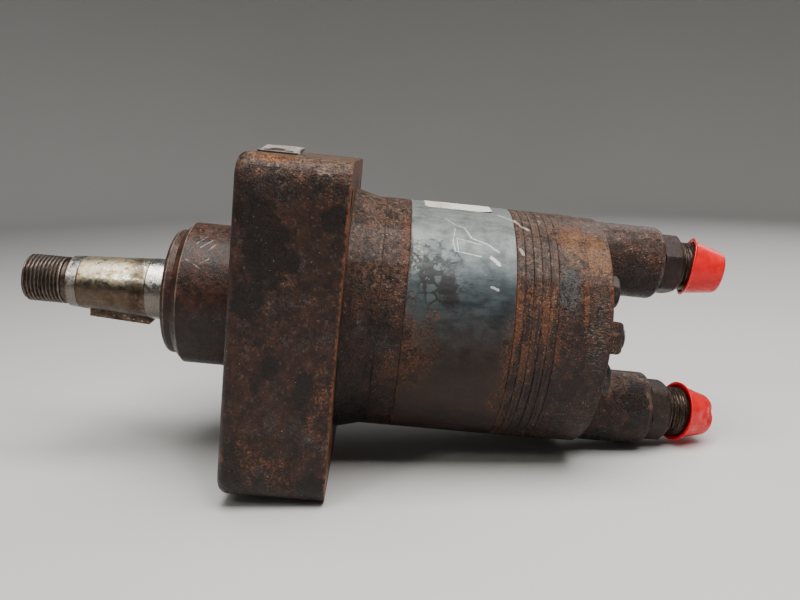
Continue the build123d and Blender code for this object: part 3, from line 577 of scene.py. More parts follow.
ring.lay(ring_joint, RUST, 0.8)
ring.fixed({"Specular IOR Level": 0.3})
ring.metal(ring.times(ring.sum("SUBTRACT", 1.0, ring.most(ring_low, ring_bites)), 0.35))
ring.gloss(ring.line(ring_low, 0.10, ring.ramp(ring_smear, 0.3, 0.7, 0.32, 0.52)))
ring.relief((ring_cloud, 0.00025), (ring_smear, 0.00012),
            (ring.times(ring_fine, ring.most(ring_bites, ring.times(ring_low, 0.35))), 0.0010),
            (ring.times(ring_patch, ring_film), 0.00010), (ring_fine, 0.00008))
ring.on("geroler_ring")

plate_crust = Crust("manifold plate crust", shift=5.0, rusty=0.01)
plate_crust.more_rust(((166, -72, 22), (3.5, 30, 40), 0.34), ((174, -76, -4), (7, 20, 22), 0.14),
                      ((184, -75, 18), (4, 16, 20), 0.32), ((176, -36, 68), (10, 30, 12), -0.10))
plate_fine_lines = plate_crust.grain(0.0007, 2.0, 0.5, stretch=(1.0, 60.0, 60.0), shift=3.0)


def plate_joints(iron):
    """Black oil in the joints between the plates, faint turning lines, pale drips beside the ring."""
    phase = iron.sum("FRACT", iron.line(iron.axis("X"), 1.0 / 0.0051, -165.0 / 5.1))
    near = iron.sum("ABSOLUTE", iron.sum("SUBTRACT", phase, 0.5))
    joint = iron.times(iron.ramp(near, 0.44, 0.48), iron.ramp(iron.lump, 0.36, 0.56))
    joint = iron.times(joint, iron.past("Z", 0.0, 0.05, 0.1, 1.0))
    iron.lay(joint, IRON_BLACK, 0.55)
    iron.lay(iron.ramp(plate_fine_lines, 0.50, 0.72), IRON_PALE, 0.22)
    drips = iron.most(*[iron.scratch(a, b, w, iron.edge, 1.0) for a, b, w in (
        ((165, -28, 72.3), (168, -31, 71.0), 1.6), ((168.5, -33, 70.2), (173, -37, 68.2), 2.4),
        ((167, -52, 57.5), (169, -55, 54.7), 1.4))])
    iron.lay(drips, (0.52, 0.46, 0.38), 0.85)


plate_crust.done(extra=plate_joints)
plate_crust.on(*[f"manifold_plate_{k}" for k in range(1, 6)])

rear_crust = Crust("commutator ring crust", depth=0.00036, shift=7.0)
rear_crust.more_rust(((202, -42, 65), (14, 34, 16), 0.32), ((197, -66, 38), (9, 16, 22), -0.30),
                     ((208, -68, 34), (3, 24, 34), 0.34), ((190, -76, -2), (8, 20, 20), 0.16),
                     ((200, 50, 55), (14, 40, 30), 0.14))


def grey_patch(iron):
    """A patch of grey mill scale on the front side, and a golden bloom of rust above it."""
    patch = iron.spot((196.5, -67, 37), (9, 16, 21), 0.9, 0.55)
    scale = iron.shade(iron.grains, 0.42, 0.58, (0.010, 0.010, 0.011), (0.100, 0.098, 0.098))
    iron.lay(patch, scale, 0.85)
    iron.gild((201, -46, 62), (11, 26, 16))


rear_crust.done(extra=grey_patch)
rear_crust.on("commutator_ring")

# ------------------------------------------------------------
# Output shaft: one turned and ground steel bar. From the front it has a thread, a relief, a taper with
# a keyway, a polished journal for the seals, two bearing seats, and a cup with a splined socket.
SHAFT_TIP = 1000.0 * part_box("output_shaft")[0][0]
THREAD_RADIUS, THREAD_PITCH, THREAD_DEPTH = 15.875, 2.5, 1.35
THREAD_END, TAPER_START, TAPER_END, JOURNAL_END = -126.0, -122.0, -69.0, -33.0
TAPER_SMALL, TAPER_BIG, JOURNAL_RADIUS = 17.2, 20.3, 20.65
KEY_START, KEY_END, KEY_RUN, KEY_WIDTH, KEY_PROUD, KEY_HEIGHT = -109.5, -69.5, 3.6, 9.525, 4.3, 9.0
KEY_SMALL, KEY_BIG, KEY_GAP = 17.93, 20.27, 0.02
RELIEF_RADIUS, SEAT_RADIUS, REAR_SEAT_RADIUS, CUP_RADIUS, CUP_END = 14.6, 24.0, 27.5, 49.0, 80.0
BORE_RADIUS, SPLINE_START, SPLINE_END, SPLINE_ROOT, SPLINE_CREST = 25.0, 65.52, 47.5, 20.9, 17.3


def spun(x, radius, angle, y=0.0, z=0.0):
    """A surface round a line parallel to X through (y, z): each point is (x, y + r sin a, z - r cos a).
    x is (rows, 1) and the others (rows, columns). Lengths come in mm and go out in metres."""
    x, radius, angle = np.broadcast_arrays(x, radius, angle)
    return 0.001 * np.stack([x, y + radius * np.sin(angle), z - radius * np.cos(angle)], -1)


def ridges(x, angle, pitch):
    """Depth of a V thread, 0 on its crest and 1 in its root, along the helix x / pitch - a / turn."""
    phase = (x / pitch - angle / (2 * np.pi)) % 1.0
    return np.clip(1.3 * np.abs(2.0 * phase - 1.0) - 0.15, 0.0, 1.0)


def steps(*corners):
    """Rows (x, r) along straight runs. Each corner is (x, r), or (x, r, rows up to it)."""
    rows = [np.array([corners[0][:2]], float)]
    for start, end in zip(corners[:-1], corners[1:]):
        share = np.linspace(0.0, 1.0, (*end, 1)[2] + 1)[1:, None]
        rows.append((1.0 - share) * np.array([start[:2]]) + share * np.array([end[:2]]))
    return np.vstack(rows)


def shaft_grid():
    """Rows of (x, r) spun round the axis. The thread cuts the radius by its ridges, the keyway sets the
    columns at the bottom to z = floor between two parallel walls, and the socket has twelve parallel
    spaces, 30 degrees apart."""
    tip = SHAFT_TIP
    profile = steps(
        # The centre hole, the chamfered tip and the thread.
        (tip + 6.0, 0.0), (tip + 1.4, 2.7, 2), (tip, 4.1), (tip, 14.1, 2), (tip + 0.2, RELIEF_RADIUS),
        (THREAD_END, THREAD_RADIUS, 90),
        # The relief behind the thread, and the taper with a fine groove and the keyway.
        (THREAD_END + 0.3, 14.8), (THREAD_END + 0.8, RELIEF_RADIUS), (TAPER_START - 0.7, RELIEF_RADIUS),
        (TAPER_START, 14.9), (TAPER_START, TAPER_SMALL - 0.55), (TAPER_START + 0.5, TAPER_SMALL),
        (-114.8, 17.62, 2), (-114.6, 17.40), (-114.2, 17.42), (-114.0, 17.67),
        (KEY_START - KEY_GAP, KEY_SMALL, 3), (KEY_START - KEY_GAP, KEY_SMALL),
        (KEY_END, KEY_BIG, 16), (TAPER_END, TAPER_BIG),
        # The journal, and the keyway's rear end in it.
        (TAPER_END + 0.2, JOURNAL_RADIUS - 0.15), (TAPER_END + 0.4, JOURNAL_RADIUS),
        (KEY_END + KEY_RUN + KEY_GAP, JOURNAL_RADIUS, 2), (KEY_END + KEY_RUN + KEY_GAP, JOURNAL_RADIUS),
        (JOURNAL_END, JOURNAL_RADIUS, 4), (JOURNAL_END, 22.0), (-32.7, 22.3), (-9.3, 22.3, 2),
        # The two bearing seats, and the collar behind them.
        (-9.0, 22.6), (-9.0, SEAT_RADIUS - 0.3), (-8.7, SEAT_RADIUS), (20.0, SEAT_RADIUS, 2),
        (20.0, REAR_SEAT_RADIUS - 0.4), (20.4, REAR_SEAT_RADIUS), (48.0, REAR_SEAT_RADIUS, 2),
        (48.0, 29.6), (48.4, 30.0), (55.6, 30.0), (56.0, 30.4),
        # The cup, its bore and the splined socket.
        (56.0, CUP_RADIUS - 0.6, 2), (56.6, CUP_RADIUS), (CUP_END - 0.6, CUP_RADIUS, 2),
        (CUP_END, CUP_RADIUS - 0.6), (CUP_END, BORE_RADIUS + 0.6, 2), (CUP_END - 0.6, BORE_RADIUS),
        (SPLINE_START, BORE_RADIUS, 2), (SPLINE_START, SPLINE_ROOT), (SPLINE_END, SPLINE_ROOT, 4),
        (SPLINE_END, 12.0), (SPLINE_END, 0.0))
    x, radius = profile[:, :1], profile[:, 1:]
    column = np.arange(120)[None, :]
    angle = np.radians(3.0 * column) + 0.0 * x
    radius = radius + 0.0 * angle

    cone = THREAD_RADIUS - 1.3 + (x - tip)
    fade = np.clip((THREAD_END - x) / 2.0, 0.0, 1.0)
    cut = THREAD_RADIUS - THREAD_DEPTH * ridges(x, angle, THREAD_PITCH) * fade
    threaded = (x > tip + 0.01) & (x < THREAD_END - 0.01) & (radius > 13.0)
    radius = np.where(threaded, np.minimum(cone, cut), radius)

    tooth_angle = np.radians([0.0, 3.8, 7.59, 9.18, 11.5, 15.0, 18.5, 20.82, 22.41, 26.2])
    tooth_radius = np.repeat([SPLINE_ROOT, SPLINE_CREST, SPLINE_ROOT], [3, 5, 2])
    row = np.arange(len(profile))[:, None]
    socket = (row >= len(profile) - 7) & (radius > 11.0) & (x < 65.6)
    angle = np.where(socket, tooth_angle[column % 10] + np.radians(30.0) * (column // 10), angle)
    radius = np.where(socket & (radius > 13.0), tooth_radius[column % 10], radius)

    points = spun(x, radius, angle)
    half = KEY_WIDTH / 2 + KEY_GAP
    place = (column + 60) % 120 - 60
    wall = np.abs(place) == 5
    edge_rows = (x >= KEY_START - 0.03) & (x <= KEY_END + KEY_RUN + 0.03)
    floor_rows = edge_rows.copy()
    floor_rows[np.flatnonzero(edge_rows[:, 0])[[0, -1]]] = False
    across = np.where(wall, np.sign(place) * half, np.clip(place / 4.0, -1.0, 1.0) * half)
    taper = np.clip(x - KEY_START, 0.0, None) * (KEY_BIG - KEY_SMALL) / (KEY_END - KEY_START)
    deep = -(KEY_SMALL + taper) + KEY_HEIGHT - KEY_PROUD + KEY_GAP
    surface = -np.sqrt(np.clip(radius ** 2 - across ** 2, 0.0, None))
    depth = np.where(floor_rows & ~wall, deep, surface)
    inside = edge_rows & (np.abs(place) <= 5)
    points[..., 1] = np.where(inside, 0.001 * across, points[..., 1])
    points[..., 2] = np.where(inside, 0.001 * depth, points[..., 2])
    return points


shaft = skin("turned_shaft", shaft_grid(), crease=28.0)
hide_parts("output_shaft")
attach(shaft, "shaft")

bar = Finish("stained shaft steel", metal=1.0)
shaft_blot = bar.grain(0.0085, 7.0, 0.72, shift=2.0, bend=0.6)
shaft_fleck = bar.grain(0.0026, 5.0, 0.7, stretch=(1.6, 1.0, 1.0), shift=5.0)
shaft_turn = bar.grain(0.00035, 2.0, 0.5, stretch=(1.0, 60.0, 60.0), shift=1.0)
shaft_mix = bar.parts(shaft_fleck, 0.5, shaft_blot, 0.6)
bar.base(shaft_mix, 0.50, 0.64, (0.94, 0.87, 0.70), (0.66, 0.50, 0.29))
bar.lay(bar.ramp(shaft_mix, 0.615, 0.69), (0.15, 0.085, 0.045))
shaft_smudge = bar.band("X", -80.0, -69.0, 4.0)
shaft_smudge = bar.times(shaft_smudge, bar.ramp(shaft_blot, 0.40, 0.52))
bar.lay(shaft_smudge, (0.11, 0.080, 0.060), 0.8)
shaft_clean = bar.most(bar.band("X", -120.9, -114.8, 0.3), bar.past("X", -0.0692, -0.0688))
shaft_bright = bar.shade(shaft_turn, 0.35, 0.70, (0.62, 0.60, 0.56), (0.84, 0.82, 0.78))
bar.lay(shaft_clean, shaft_bright, 0.9)
# Painted shade: the bar's lower half is painted dark brown, which also dims its reflections there.
shaft_lower_shade = bar.fall(bar.sway(bar.axis("Z"), shaft_blot, 0.012), 0.0005, 0.0085)
shaft_lower_shade = bar.times(shaft_lower_shade, bar.line(shaft_clean, -0.12, 0.94))
shaft_shade_colour = bar.shade(shaft_fleck, 0.42, 0.60, (0.030, 0.017, 0.012), (0.074, 0.043, 0.030))
bar.lay(shaft_lower_shade, shaft_shade_colour)
shaft_lines = bar.most(bar.band("X", -114.9, -113.9, 0.1), bar.band("X", -69.6, -68.8, 0.15))
bar.lay(shaft_lines, (0.10, 0.070, 0.050), 0.8)
shaft_thread = bar.fall(bar.axis("X"), -0.1218, -0.1210)
shaft_crest = bar.ramp(bar.reach(), 0.0151, 0.0158)
shaft_dark = bar.shade(shaft_fleck, 0.40, 0.66, (0.062, 0.047, 0.040), (0.125, 0.094, 0.078))
shaft_crest = bar.times(shaft_crest, bar.ramp(shaft_blot, 0.36, 0.56, 0.25, 0.75))
shaft_dark = bar.blend(shaft_crest, shaft_dark, (0.27, 0.225, 0.19))
bar.lay(shaft_thread, shaft_dark)
shaft_dull = bar.ramp(shaft_mix, 0.45, 0.70, 0.22, 0.52)
shaft_dull = bar.line(shaft_clean, -0.08, shaft_dull)
bar.gloss(bar.most(shaft_dull, bar.times(shaft_thread, 0.46)))
bar.metal(bar.ramp(shaft_mix, 0.60, 0.72, 1.0, 0.55))
bar.relief((shaft_blot, 0.00014), (shaft_fleck, 0.00020), (shaft_turn, 0.000012))
bar.on(shaft)

# ------------------------------------------------------------
# Shaft key: a bar of square steel that stands out of the taper and drives the hub. Its outer face
# follows the taper, and its rear end is milled at a slant.


def eased_loop(corners, radius, count=4):
    """A closed outline with its corners rounded: each corner is swapped for count points of the curve
    (1-s)^2 A + 2 s (1-s) P + s^2 B, where A and B lie radius away along its two sides."""
    corner = np.array(corners, float)
    before, after = np.roll(corner, 1, 0) - corner, np.roll(corner, -1, 0) - corner
    before = corner + before * (radius / np.linalg.norm(before, axis=1))[:, None]
    after = corner + after * (radius / np.linalg.norm(after, axis=1))[:, None]
    s = np.linspace(0.0, 1.0, count)[None, :, None]
    curve = (1 - s) ** 2 * before[:, None] + 2 * s * (1 - s) * corner[:, None] + s ** 2 * after[:, None]
    return curve.reshape(-1, 2)


def slab(loop, half, ease):
    """A flat outline (u, w) carried across from -half to +half, with its two rims eased: rows at
    (v, inset), where an inset pulls the outline towards its centre. Rows end in poles."""
    centre = loop.mean(0)
    size = np.abs(loop - centre).max(0)
    rows = [(-half, 1e9), (-half, ease), (-half + 0.3 * ease, 0.3 * ease), (-half + ease, 0.0),
            (half - ease, 0.0), (half - 0.3 * ease, 0.3 * ease), (half, ease), (half, 1e9)]
    across = np.array([r[0] for r in rows])[:, None]
    keep = np.clip(1.0 - np.array([r[1] for r in rows])[:, None] / size[None, :], 0.0, 1.0)[:, None, :]
    flat = centre + (loop[None] - centre) * keep
    return flat, across + 0.0 * flat[..., 0]


key_loop = eased_loop([(KEY_START, -22.22), (KEY_END, -24.57), (KEY_END + KEY_RUN, -19.86),
                       (KEY_END + KEY_RUN, -15.60), (KEY_START, -13.26)], 0.45)
key_flat, key_across = slab(key_loop, KEY_WIDTH / 2, 0.35)
key = skin("milled_key", 0.001 * np.stack([key_flat[..., 0], key_across, key_flat[..., 1]], -1),
           crease=40.0)
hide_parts("shaft_key")
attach(key, "shaft")

key_steel = Finish("key steel", metal=0.85)
key_blot = key_steel.grain(0.005, 6.0, 0.7, shift=3.0)
key_steel.base(key_blot, 0.38, 0.62, (0.120, 0.086, 0.066), (0.045, 0.027, 0.020))
key_rim = key_steel.ramp(key_steel.grain(0.0018, 4.0, 0.7, shift=9.0), 0.60, 0.66)
key_steel.lay(key_rim, (0.42, 0.34, 0.24))
key_steel.gloss(key_steel.ramp(key_blot, 0.35, 0.65, 0.34, 0.60))
key_line = key_steel.grain(0.0004, 2.0, 0.5, stretch=(30.0, 1.0, 1.0), shift=1.0)
key_steel.relief((key_blot, 0.00015), (key_line, 0.00002))
key_steel.on(key)

# ------------------------------------------------------------
# Front seals and bearings: a rubber dust seal pressed into the pilot's nose, a lip seal with its washer
# behind it, then needle rollers in brass cages between hardened races, and a thrust bearing.


class Ground(Finish):
    """Hard ground steel: cloudy grey with faint turning lines, brown patches of oil and fine nicks."""

    def __init__(self, name, dark, light, film=0.3, lines=(1.0, 60.0, 60.0), low=0.16, high=0.38,
                 shift=0.0):
        super().__init__(name, metal=1.0)
        cloud = self.grain(0.012, 4.0, 0.6, shift=shift)
        line = self.grain(0.0004, 2.0, 0.5, stretch=lines, shift=shift + 2.0)
        nick = self.ramp(self.grain(0.0016, 3.0, 0.6, shift=shift + 4.0), 0.68, 0.72)
        tone = self.parts(line, 0.45, cloud, 0.6)
        self.base(tone, 0.35, 0.68, dark, light)
        oily = self.ramp(self.grain(0.007, 5.0, 0.65, shift=shift + 7.0), 0.46, 0.64)
        self.lay(oily, (0.24, 0.15, 0.07), film)
        self.lay(nick, (0.10, 0.085, 0.075), 0.7)
        self.gloss(self.ramp(cloud, 0.35, 0.65, low, high))
        self.relief((cloud, 0.00006), (line, 0.000010), (nick, -0.00004))


class Rubber(Finish):
    """Moulded rubber or plastic: a paler bloom in clouds, specks of brown dust and a fine grain."""

    def __init__(self, name, shift=0.0, tint=(0.016, 0.015, 0.015), bloom=(0.075, 0.070, 0.064)):
        super().__init__(name)
        cloud = self.grain(0.006, 5.0, 0.65, shift=shift)
        fine = self.grain(0.0005, 3.0, 0.6, shift=shift + 3.0)
        self.base(cloud, 0.42, 0.70, tint, bloom)
        self.lay(self.ramp(fine, 0.58, 0.66), (0.17, 0.13, 0.095), 0.5)
        self.gloss(self.ramp(cloud, 0.35, 0.65, 0.42, 0.74))
        self.relief((cloud, 0.00012), (fine, 0.00005))


Rubber("dust seal rubber", 0.0).on("dust_seal")
Rubber("lip seal rubber", 3.0, (0.050, 0.018, 0.012), (0.11, 0.050, 0.036)).on("shaft_seal")
Rubber("backup washer plastic", 6.0, (0.36, 0.33, 0.27), (0.50, 0.47, 0.40)).on("backup_washer")
Ground("race steel", (0.42, 0.42, 0.41), (0.66, 0.66, 0.64), shift=1.0).on(
    "front_outer_race", "front_inner_race", "rear_outer_race", "rear_inner_race")
Ground("needle steel", (0.56, 0.56, 0.55), (0.80, 0.80, 0.78), film=0.2, low=0.08, high=0.24,
       shift=3.0).on("front_rollers", "rear_rollers", "thrust_rollers")
Ground("thrust washer steel", (0.40, 0.39, 0.37), (0.62, 0.61, 0.58), film=0.4,
       shift=5.0).on("thrust_washer_fixed", "thrust_washer_turning")
Ground("cage brass", (0.47, 0.29, 0.09), (0.80, 0.58, 0.24), film=0.5, low=0.26, high=0.46,
       shift=8.0).on("front_cage", "rear_cage", "thrust_cage")

# ------------------------------------------------------------
# Geroler set: a six-lobed rotor that rolls inside seven rollers held in the ring, and the splined link
# that takes its turning to the shaft. The rollers and rotor are hardened, and all of it runs in oil.
Ground("lapped rotor steel", (0.33, 0.32, 0.31), (0.56, 0.55, 0.53), film=0.35, shift=11.0).on("rotor")
Ground("geroler roller steel", (0.50, 0.50, 0.49), (0.76, 0.76, 0.74), film=0.25, low=0.10, high=0.26,
       shift=13.0).on(*[f"geroler_roller_{k}" for k in range(1, 8)])
Ground("blackened link steel", (0.085, 0.080, 0.076), (0.21, 0.20, 0.19), film=0.55, low=0.30,
       high=0.50, shift=15.0).on("drive_link", "link_spacer")
Rubber("section seal rubber", 9.0).on("section_seals")

# ------------------------------------------------------------
# Commutator: a lapped steel disc that orbits between the manifold and the cover and sends oil to the
# right chambers. A square ring in its groove keeps it tight.
Ground("lapped commutator steel", (0.36, 0.36, 0.35), (0.68, 0.67, 0.64), film=0.45, low=0.12,
       high=0.30, shift=17.0).on("commutator")
Rubber("commutator seal plastic", 12.0, (0.18, 0.10, 0.045), (0.30, 0.19, 0.10)).on("commutator_seal")

# ------------------------------------------------------------
# End cover: a cast-iron cover with two long threaded port bosses and a lug for the drain plug. Its rim
# is turned to match the stack, and the bosses keep their cast skin under rust and old oil.
# Where each port's axis is, (y, z).
PORTS = {"upper": (11.349, 49.721), "lower": (-11.349, -49.721)}

cover_crust = Crust("cover casting", depth=0.00030, shift=11.0, rusty=-0.01)
cover_crust.more_rust(((214, -48, 60), (14, 30, 20), 0.32), ((223, -66, 40), (3, 14, 26), 0.26),
                      ((214, -60, -44), (16, 40, 30), 0.10), ((222, 60, 20), (8, 40, 50), 0.14),
                      ((255, 0, 0), (26, 80, 90), -0.16))
cover_lines = cover_crust.grain(0.0006, 4.0, 0.7, stretch=(4.5, 1.0, 1.0), shift=2.0)


def cover_marks(iron):
    """A golden bloom of rust and rows of bright drag marks on the rim's front side, and a worn edge
    round each boss's end."""
    iron.gild((213, -50, 58), (15, 30, 22))
    side = iron.spot((215, -74, 16), (13, 18, 34), 1.0, 0.3)
    drag = iron.times(iron.ramp(cover_lines, 0.52, 0.64), side)
    iron.lay(drag, (0.27, 0.215, 0.175), 0.7)
    worn = iron.times(iron.band("X", 271.5, 275.0, 0.8), iron.ramp(iron.edge, 0.50, 0.62))
    iron.lay(worn, (0.17, 0.13, 0.11), 0.5)


cover_crust.done(oil=(((240, -30, -68), (16, 30, 12)), ((262, -34, -40), (10, 16, 20)),
                      ((240, 30, 40), (20, 24, 20)), ((226, -62, -10), (6, 20, 26))),
                 bloom=0.45, extra=cover_marks)
cover_crust.on("end_cover")

# ------------------------------------------------------------
# Cover bolts: five forged hexagon bolts with washer faces, through the whole stack into the housing.
# Their black finish is rubbed through to bare metal in places, and rust stands on it in others.
BOLT_CIRCLE, BOLT_SEAT, BOLT_TIP = 62.0, 222.2, 59.5
BOLT_RADIUS, BOLT_FLATS, BOLT_HEAD = 6.35, 19.05, 8.0
HEX_OFFSETS = np.array([0.0, 1.4, 3.0, 8.0, 15.0, 22.0, 30.0, 38.0, 45.0, 52.0, 57.0, 58.6])
HEX_TURN = np.radians((HEX_OFFSETS[None, :] + 60.0 * np.arange(6)[:, None]).reshape(1, -1))


def station(k):
    """Angle of the k-th of seven places round the stack, k / 7 of a turn and 3 degrees more."""
    return math.radians(k * 360.0 / 7.0 + 3.0)


def hexed(angle, flats, turn, rounding=0.3):
    """Radius of a hexagon in the direction angle: half the width across flats over the cosine of the
    angle from the nearest flat's middle. A corner points to turn, and is cut back by rounding."""
    radius = flats / 2 / np.cos((angle - turn) % (np.pi / 3) - np.pi / 6)
    return np.minimum(radius, flats / math.sqrt(3) - rounding)


def bolt_grid(place):
    """Rows (x, r) spun round the bolt's own axis: shank, washer face, then the lesser of a hexagon and
    a chamfer cone, and a slightly dished top."""
    head = BOLT_SEAT + BOLT_HEAD
    round_rows = steps((BOLT_TIP, 0.0), (BOLT_TIP, 5.2), (BOLT_TIP + 1.2, BOLT_RADIUS),
                       (BOLT_SEAT, BOLT_RADIUS), (BOLT_SEAT, 9.3), (BOLT_SEAT + 0.2, 9.5),
                       (BOLT_SEAT + 0.7, 9.5), (BOLT_SEAT + 0.8, 9.3))
    head_rows = steps((BOLT_SEAT + 0.9, 9.45), (BOLT_SEAT + 1.2, 10.7), (head - 1.6, 11.0, 3),
                      (head - 1.5, 10.9), (head - 0.25, 9.35, 3), (head, 9.05), (head, 7.6),
                      (head - 0.25, 6.9), (head - 0.3, 0.0, 2))
    x = np.vstack([round_rows, head_rows])[:, :1]
    radius = np.concatenate([round_rows[:, 1:] + 0.0 * HEX_TURN,
                             np.minimum(head_rows[:, 1:], hexed(HEX_TURN, BOLT_FLATS, 0.0))])
    return spun(x, radius, HEX_TURN, BOLT_CIRCLE * math.sin(place), -BOLT_CIRCLE * math.cos(place))


bolts = skin("hexagon_bolts", [bolt_grid(station(k)) for k in (0.5, 1.5, 2.5, 4.5, 5.5)], crease=24.0)
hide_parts("cover_bolts")
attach(bolts, "motor")


class WornBlack(Finish):
    """Blackened steel: brown-black, with raised scabs of rust and bare metal where it is rubbed."""

    def __init__(self, name, shift=0.0, rust=0.58, rub=0.60, base=(0.030, 0.024, 0.022),
                 worn=(0.25, 0.20, 0.165)):
        super().__init__(name, metal=0.55)
        self.cloud = self.grain(0.006, 5.0, 0.66, shift=shift)
        self.fine = self.grain(0.0012, 5.0, 0.7, shift=shift + 4.0)
        mix = self.parts(self.cloud, 0.55, self.fine, 0.45)
        self.base(mix, 0.38, 0.64, base, tuple(2.3 * v for v in base))
        self.rusty = self.ramp(self.parts(self.cloud, 0.7, self.fine, 0.3), rust, rust + 0.08)
        self.lay(self.rusty, self.blend(self.fine, RUST, (0.22, 0.085, 0.034)), 0.8)
        rubbed = self.ramp(self.grain(0.0024, 4.0, 0.7, shift=shift + 8.0), rub, rub + 0.06)
        self.lay(rubbed, worn)

    def done(self, depth=0.00012):
        """Set the gloss and the bumps, from the colour's own noises."""
        self.metal(self.ramp(self.rusty, 0.0, 1.0, 0.65, 0.05))
        self.gloss(self.ramp(self.fine, 0.35, 0.70, 0.38, 0.68))
        self.relief((self.cloud, 4.0 * depth), (self.fine, 3.0 * depth))


bolt_black = WornBlack("blackened bolts", shift=2.0, rust=0.54)
bolt_black.done()
bolt_black.on(bolts)

# ------------------------------------------------------------
# Drain plug: a steel plug with a hexagon socket, screwed into the lug between two bolts.
# It takes a leakage line, or stays shut as here.
PLUG_CIRCLE, PLUG_SEAT, PLUG_TOP, PLUG_FLATS = 67.5, 231.6, 232.6, 4.76


def plug_grid():
    """Rows spun round the plug's axis: body, head with eased edges, and a hexagonal socket with a
    coned rim and floor."""
    seat, top, angle = PLUG_SEAT, PLUG_TOP, station(5)
    rows = steps((seat - 11.0, 0.0), (seat - 11.0, 4.9), (seat - 10.4, 5.5), (seat, 5.5), (seat, 7.0),
                 (seat + 0.2, 7.2), (top - 0.35, 7.2), (top, 6.8), (top, 3.1, 2))
    socket = steps((top - 0.3, 2.8), (top - 0.4, 2.7), (top - 4.0, 2.7), (top - 4.0, 2.2),
                   (top - 4.5, 0.0))
    x = np.vstack([rows, socket])[:, :1]
    hollow = np.minimum(socket[:, 1:], hexed(HEX_TURN, PLUG_FLATS, 0.0, 0.05))
    radius = np.concatenate([rows[:, 1:] + 0.0 * HEX_TURN, hollow])
    return spun(x, radius, HEX_TURN, PLUG_CIRCLE * math.sin(angle), -PLUG_CIRCLE * math.cos(angle))


plug = skin("drain_socket_plug", plug_grid(), crease=24.0)
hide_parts("drain_plug")
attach(plug, "motor")
plug_steel = WornBlack("plug steel", shift=6.0, rust=0.57, rub=0.52, base=(0.060, 0.052, 0.048))
plug_steel.done()
plug_steel.on(plug)

# ------------------------------------------------------------
# Port adapters: straight unions of forged steel, screwed into the bosses on a ring seal. Each has a
# rough hexagon, a turned shoulder, and a male thread with a cone seat for the hose.
HEX_START, HEX_END, SHOULDER_END, NOSE_THREAD_END, NOSE_END = 274.9, 286.5, 289.8, 300.8, 306.8
ADAPTER_FLATS, ADAPTER_PITCH, ADAPTER_DEPTH = 38.1, 2.117, 1.15
ADAPTER_THREAD, BOSS_THREAD, ADAPTER_BORE, TAIL_END = 16.6, 16.5, 10.0, 255.6


def adapter_grid(port, turn):
    """A closed loop of rows spun round the port's axis. Plain rows are round, the hexagon's are the
    lesser of a hexagon and an envelope, and the threads' lose their ridges' depth."""
    tail = steps((TAIL_END, ADAPTER_BORE), (TAIL_END, 14.9), (TAIL_END + 1.0, BOSS_THREAD),
                 (272.2, BOSS_THREAD, 60))
    neck = steps((272.3, 15.4), (HEX_START, 15.4, 2), (HEX_START, 18.2))
    flats = steps((HEX_START + 0.05, 19.3), (HEX_START + 1.5, 21.85, 3), (HEX_END - 0.4, 21.9, 4),
                  (HEX_END, 21.6), (SHOULDER_END - 0.5, 17.9, 5), (SHOULDER_END, 17.3))
    nose = steps((SHOULDER_END + 0.01, ADAPTER_THREAD), (NOSE_THREAD_END, ADAPTER_THREAD, 44))
    seat = steps((NOSE_THREAD_END + 0.3, 15.6), (NOSE_END - 0.3, 12.45, 3), (NOSE_END, 12.0),
                 (NOSE_END, 10.6), (NOSE_END - 0.6, ADAPTER_BORE), (280.0, ADAPTER_BORE, 3))
    rows = np.vstack([tail, neck, flats, nose, seat])
    x = rows[:, :1]
    radius = rows[:, 1:] + 0.0 * HEX_TURN
    hexagonal = (x > HEX_START) & (x <= SHOULDER_END)
    radius = np.where(hexagonal, np.minimum(radius, hexed(HEX_TURN, ADAPTER_FLATS, turn, 0.2)), radius)
    fade = np.clip((x - SHOULDER_END - 0.6) / 1.4, 0.0, 1.0) * (x <= NOSE_THREAD_END)
    fade = fade + np.clip((271.5 - x) / 1.5, 0.0, 1.0) * (radius > 16.0)
    radius = radius - ADAPTER_DEPTH * fade * ridges(x, HEX_TURN, ADAPTER_PITCH)
    return spun(x, radius, HEX_TURN, *port)


union = WornBlack("adapter steel", shift=10.0, rust=0.60, rub=0.64, base=(0.022, 0.0145, 0.0125),
                  worn=(0.15, 0.105, 0.085))
adapter_line = union.grain(0.0005, 2.0, 0.5, stretch=(1.0, 40.0, 40.0), shift=1.0)
adapter_turned = union.past("X", 0.2872, 0.2890)
adapter_bright = union.shade(adapter_line, 0.38, 0.66, (0.042, 0.028, 0.022), (0.115, 0.080, 0.061))
adapter_bright = union.blend(union.times(union.rusty, 0.6), adapter_bright, RUST)
union.lay(adapter_turned, adapter_bright)
union.done()
adapter_skin = union.line(adapter_turned, -0.85, 1.0)
union.relief((union.times(union.cloud, adapter_skin), 0.00048),
             (union.times(union.fine, adapter_skin), 0.00036))
union.gloss(union.line(adapter_turned, -0.22, union.ramp(union.fine, 0.35, 0.70, 0.40, 0.64)))

for side, turn in (("upper", 251.0), ("lower", 273.0)):
    adapter = skin(f"{side}_port_union", adapter_grid(PORTS[side], math.radians(turn)), wrap_rows=True,
                   crease=26.0)
    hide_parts(f"port_adapter_{side}")
    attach(adapter, "motor")
    union.on(adapter)
Rubber("port seal rubber", 15.0).on("port_seals")

# ------------------------------------------------------------
# Caps: thin tapered shells of soft red plastic, moulded with a flared rim, and pushed over the male
# ends to keep dirt out. They sit crooked, and both are dented, the lower one more.
CAP_LENGTH, CAP_WALL, CAP_RIM = 23.0, 0.9, 20.5
# How far along the port each rim is, and how the cap pitches and yaws, in degrees.
CAP_SETTINGS = {"upper": (298.0, 5.0, -10.5), "lower": (298.5, 6.5, 12.0)}


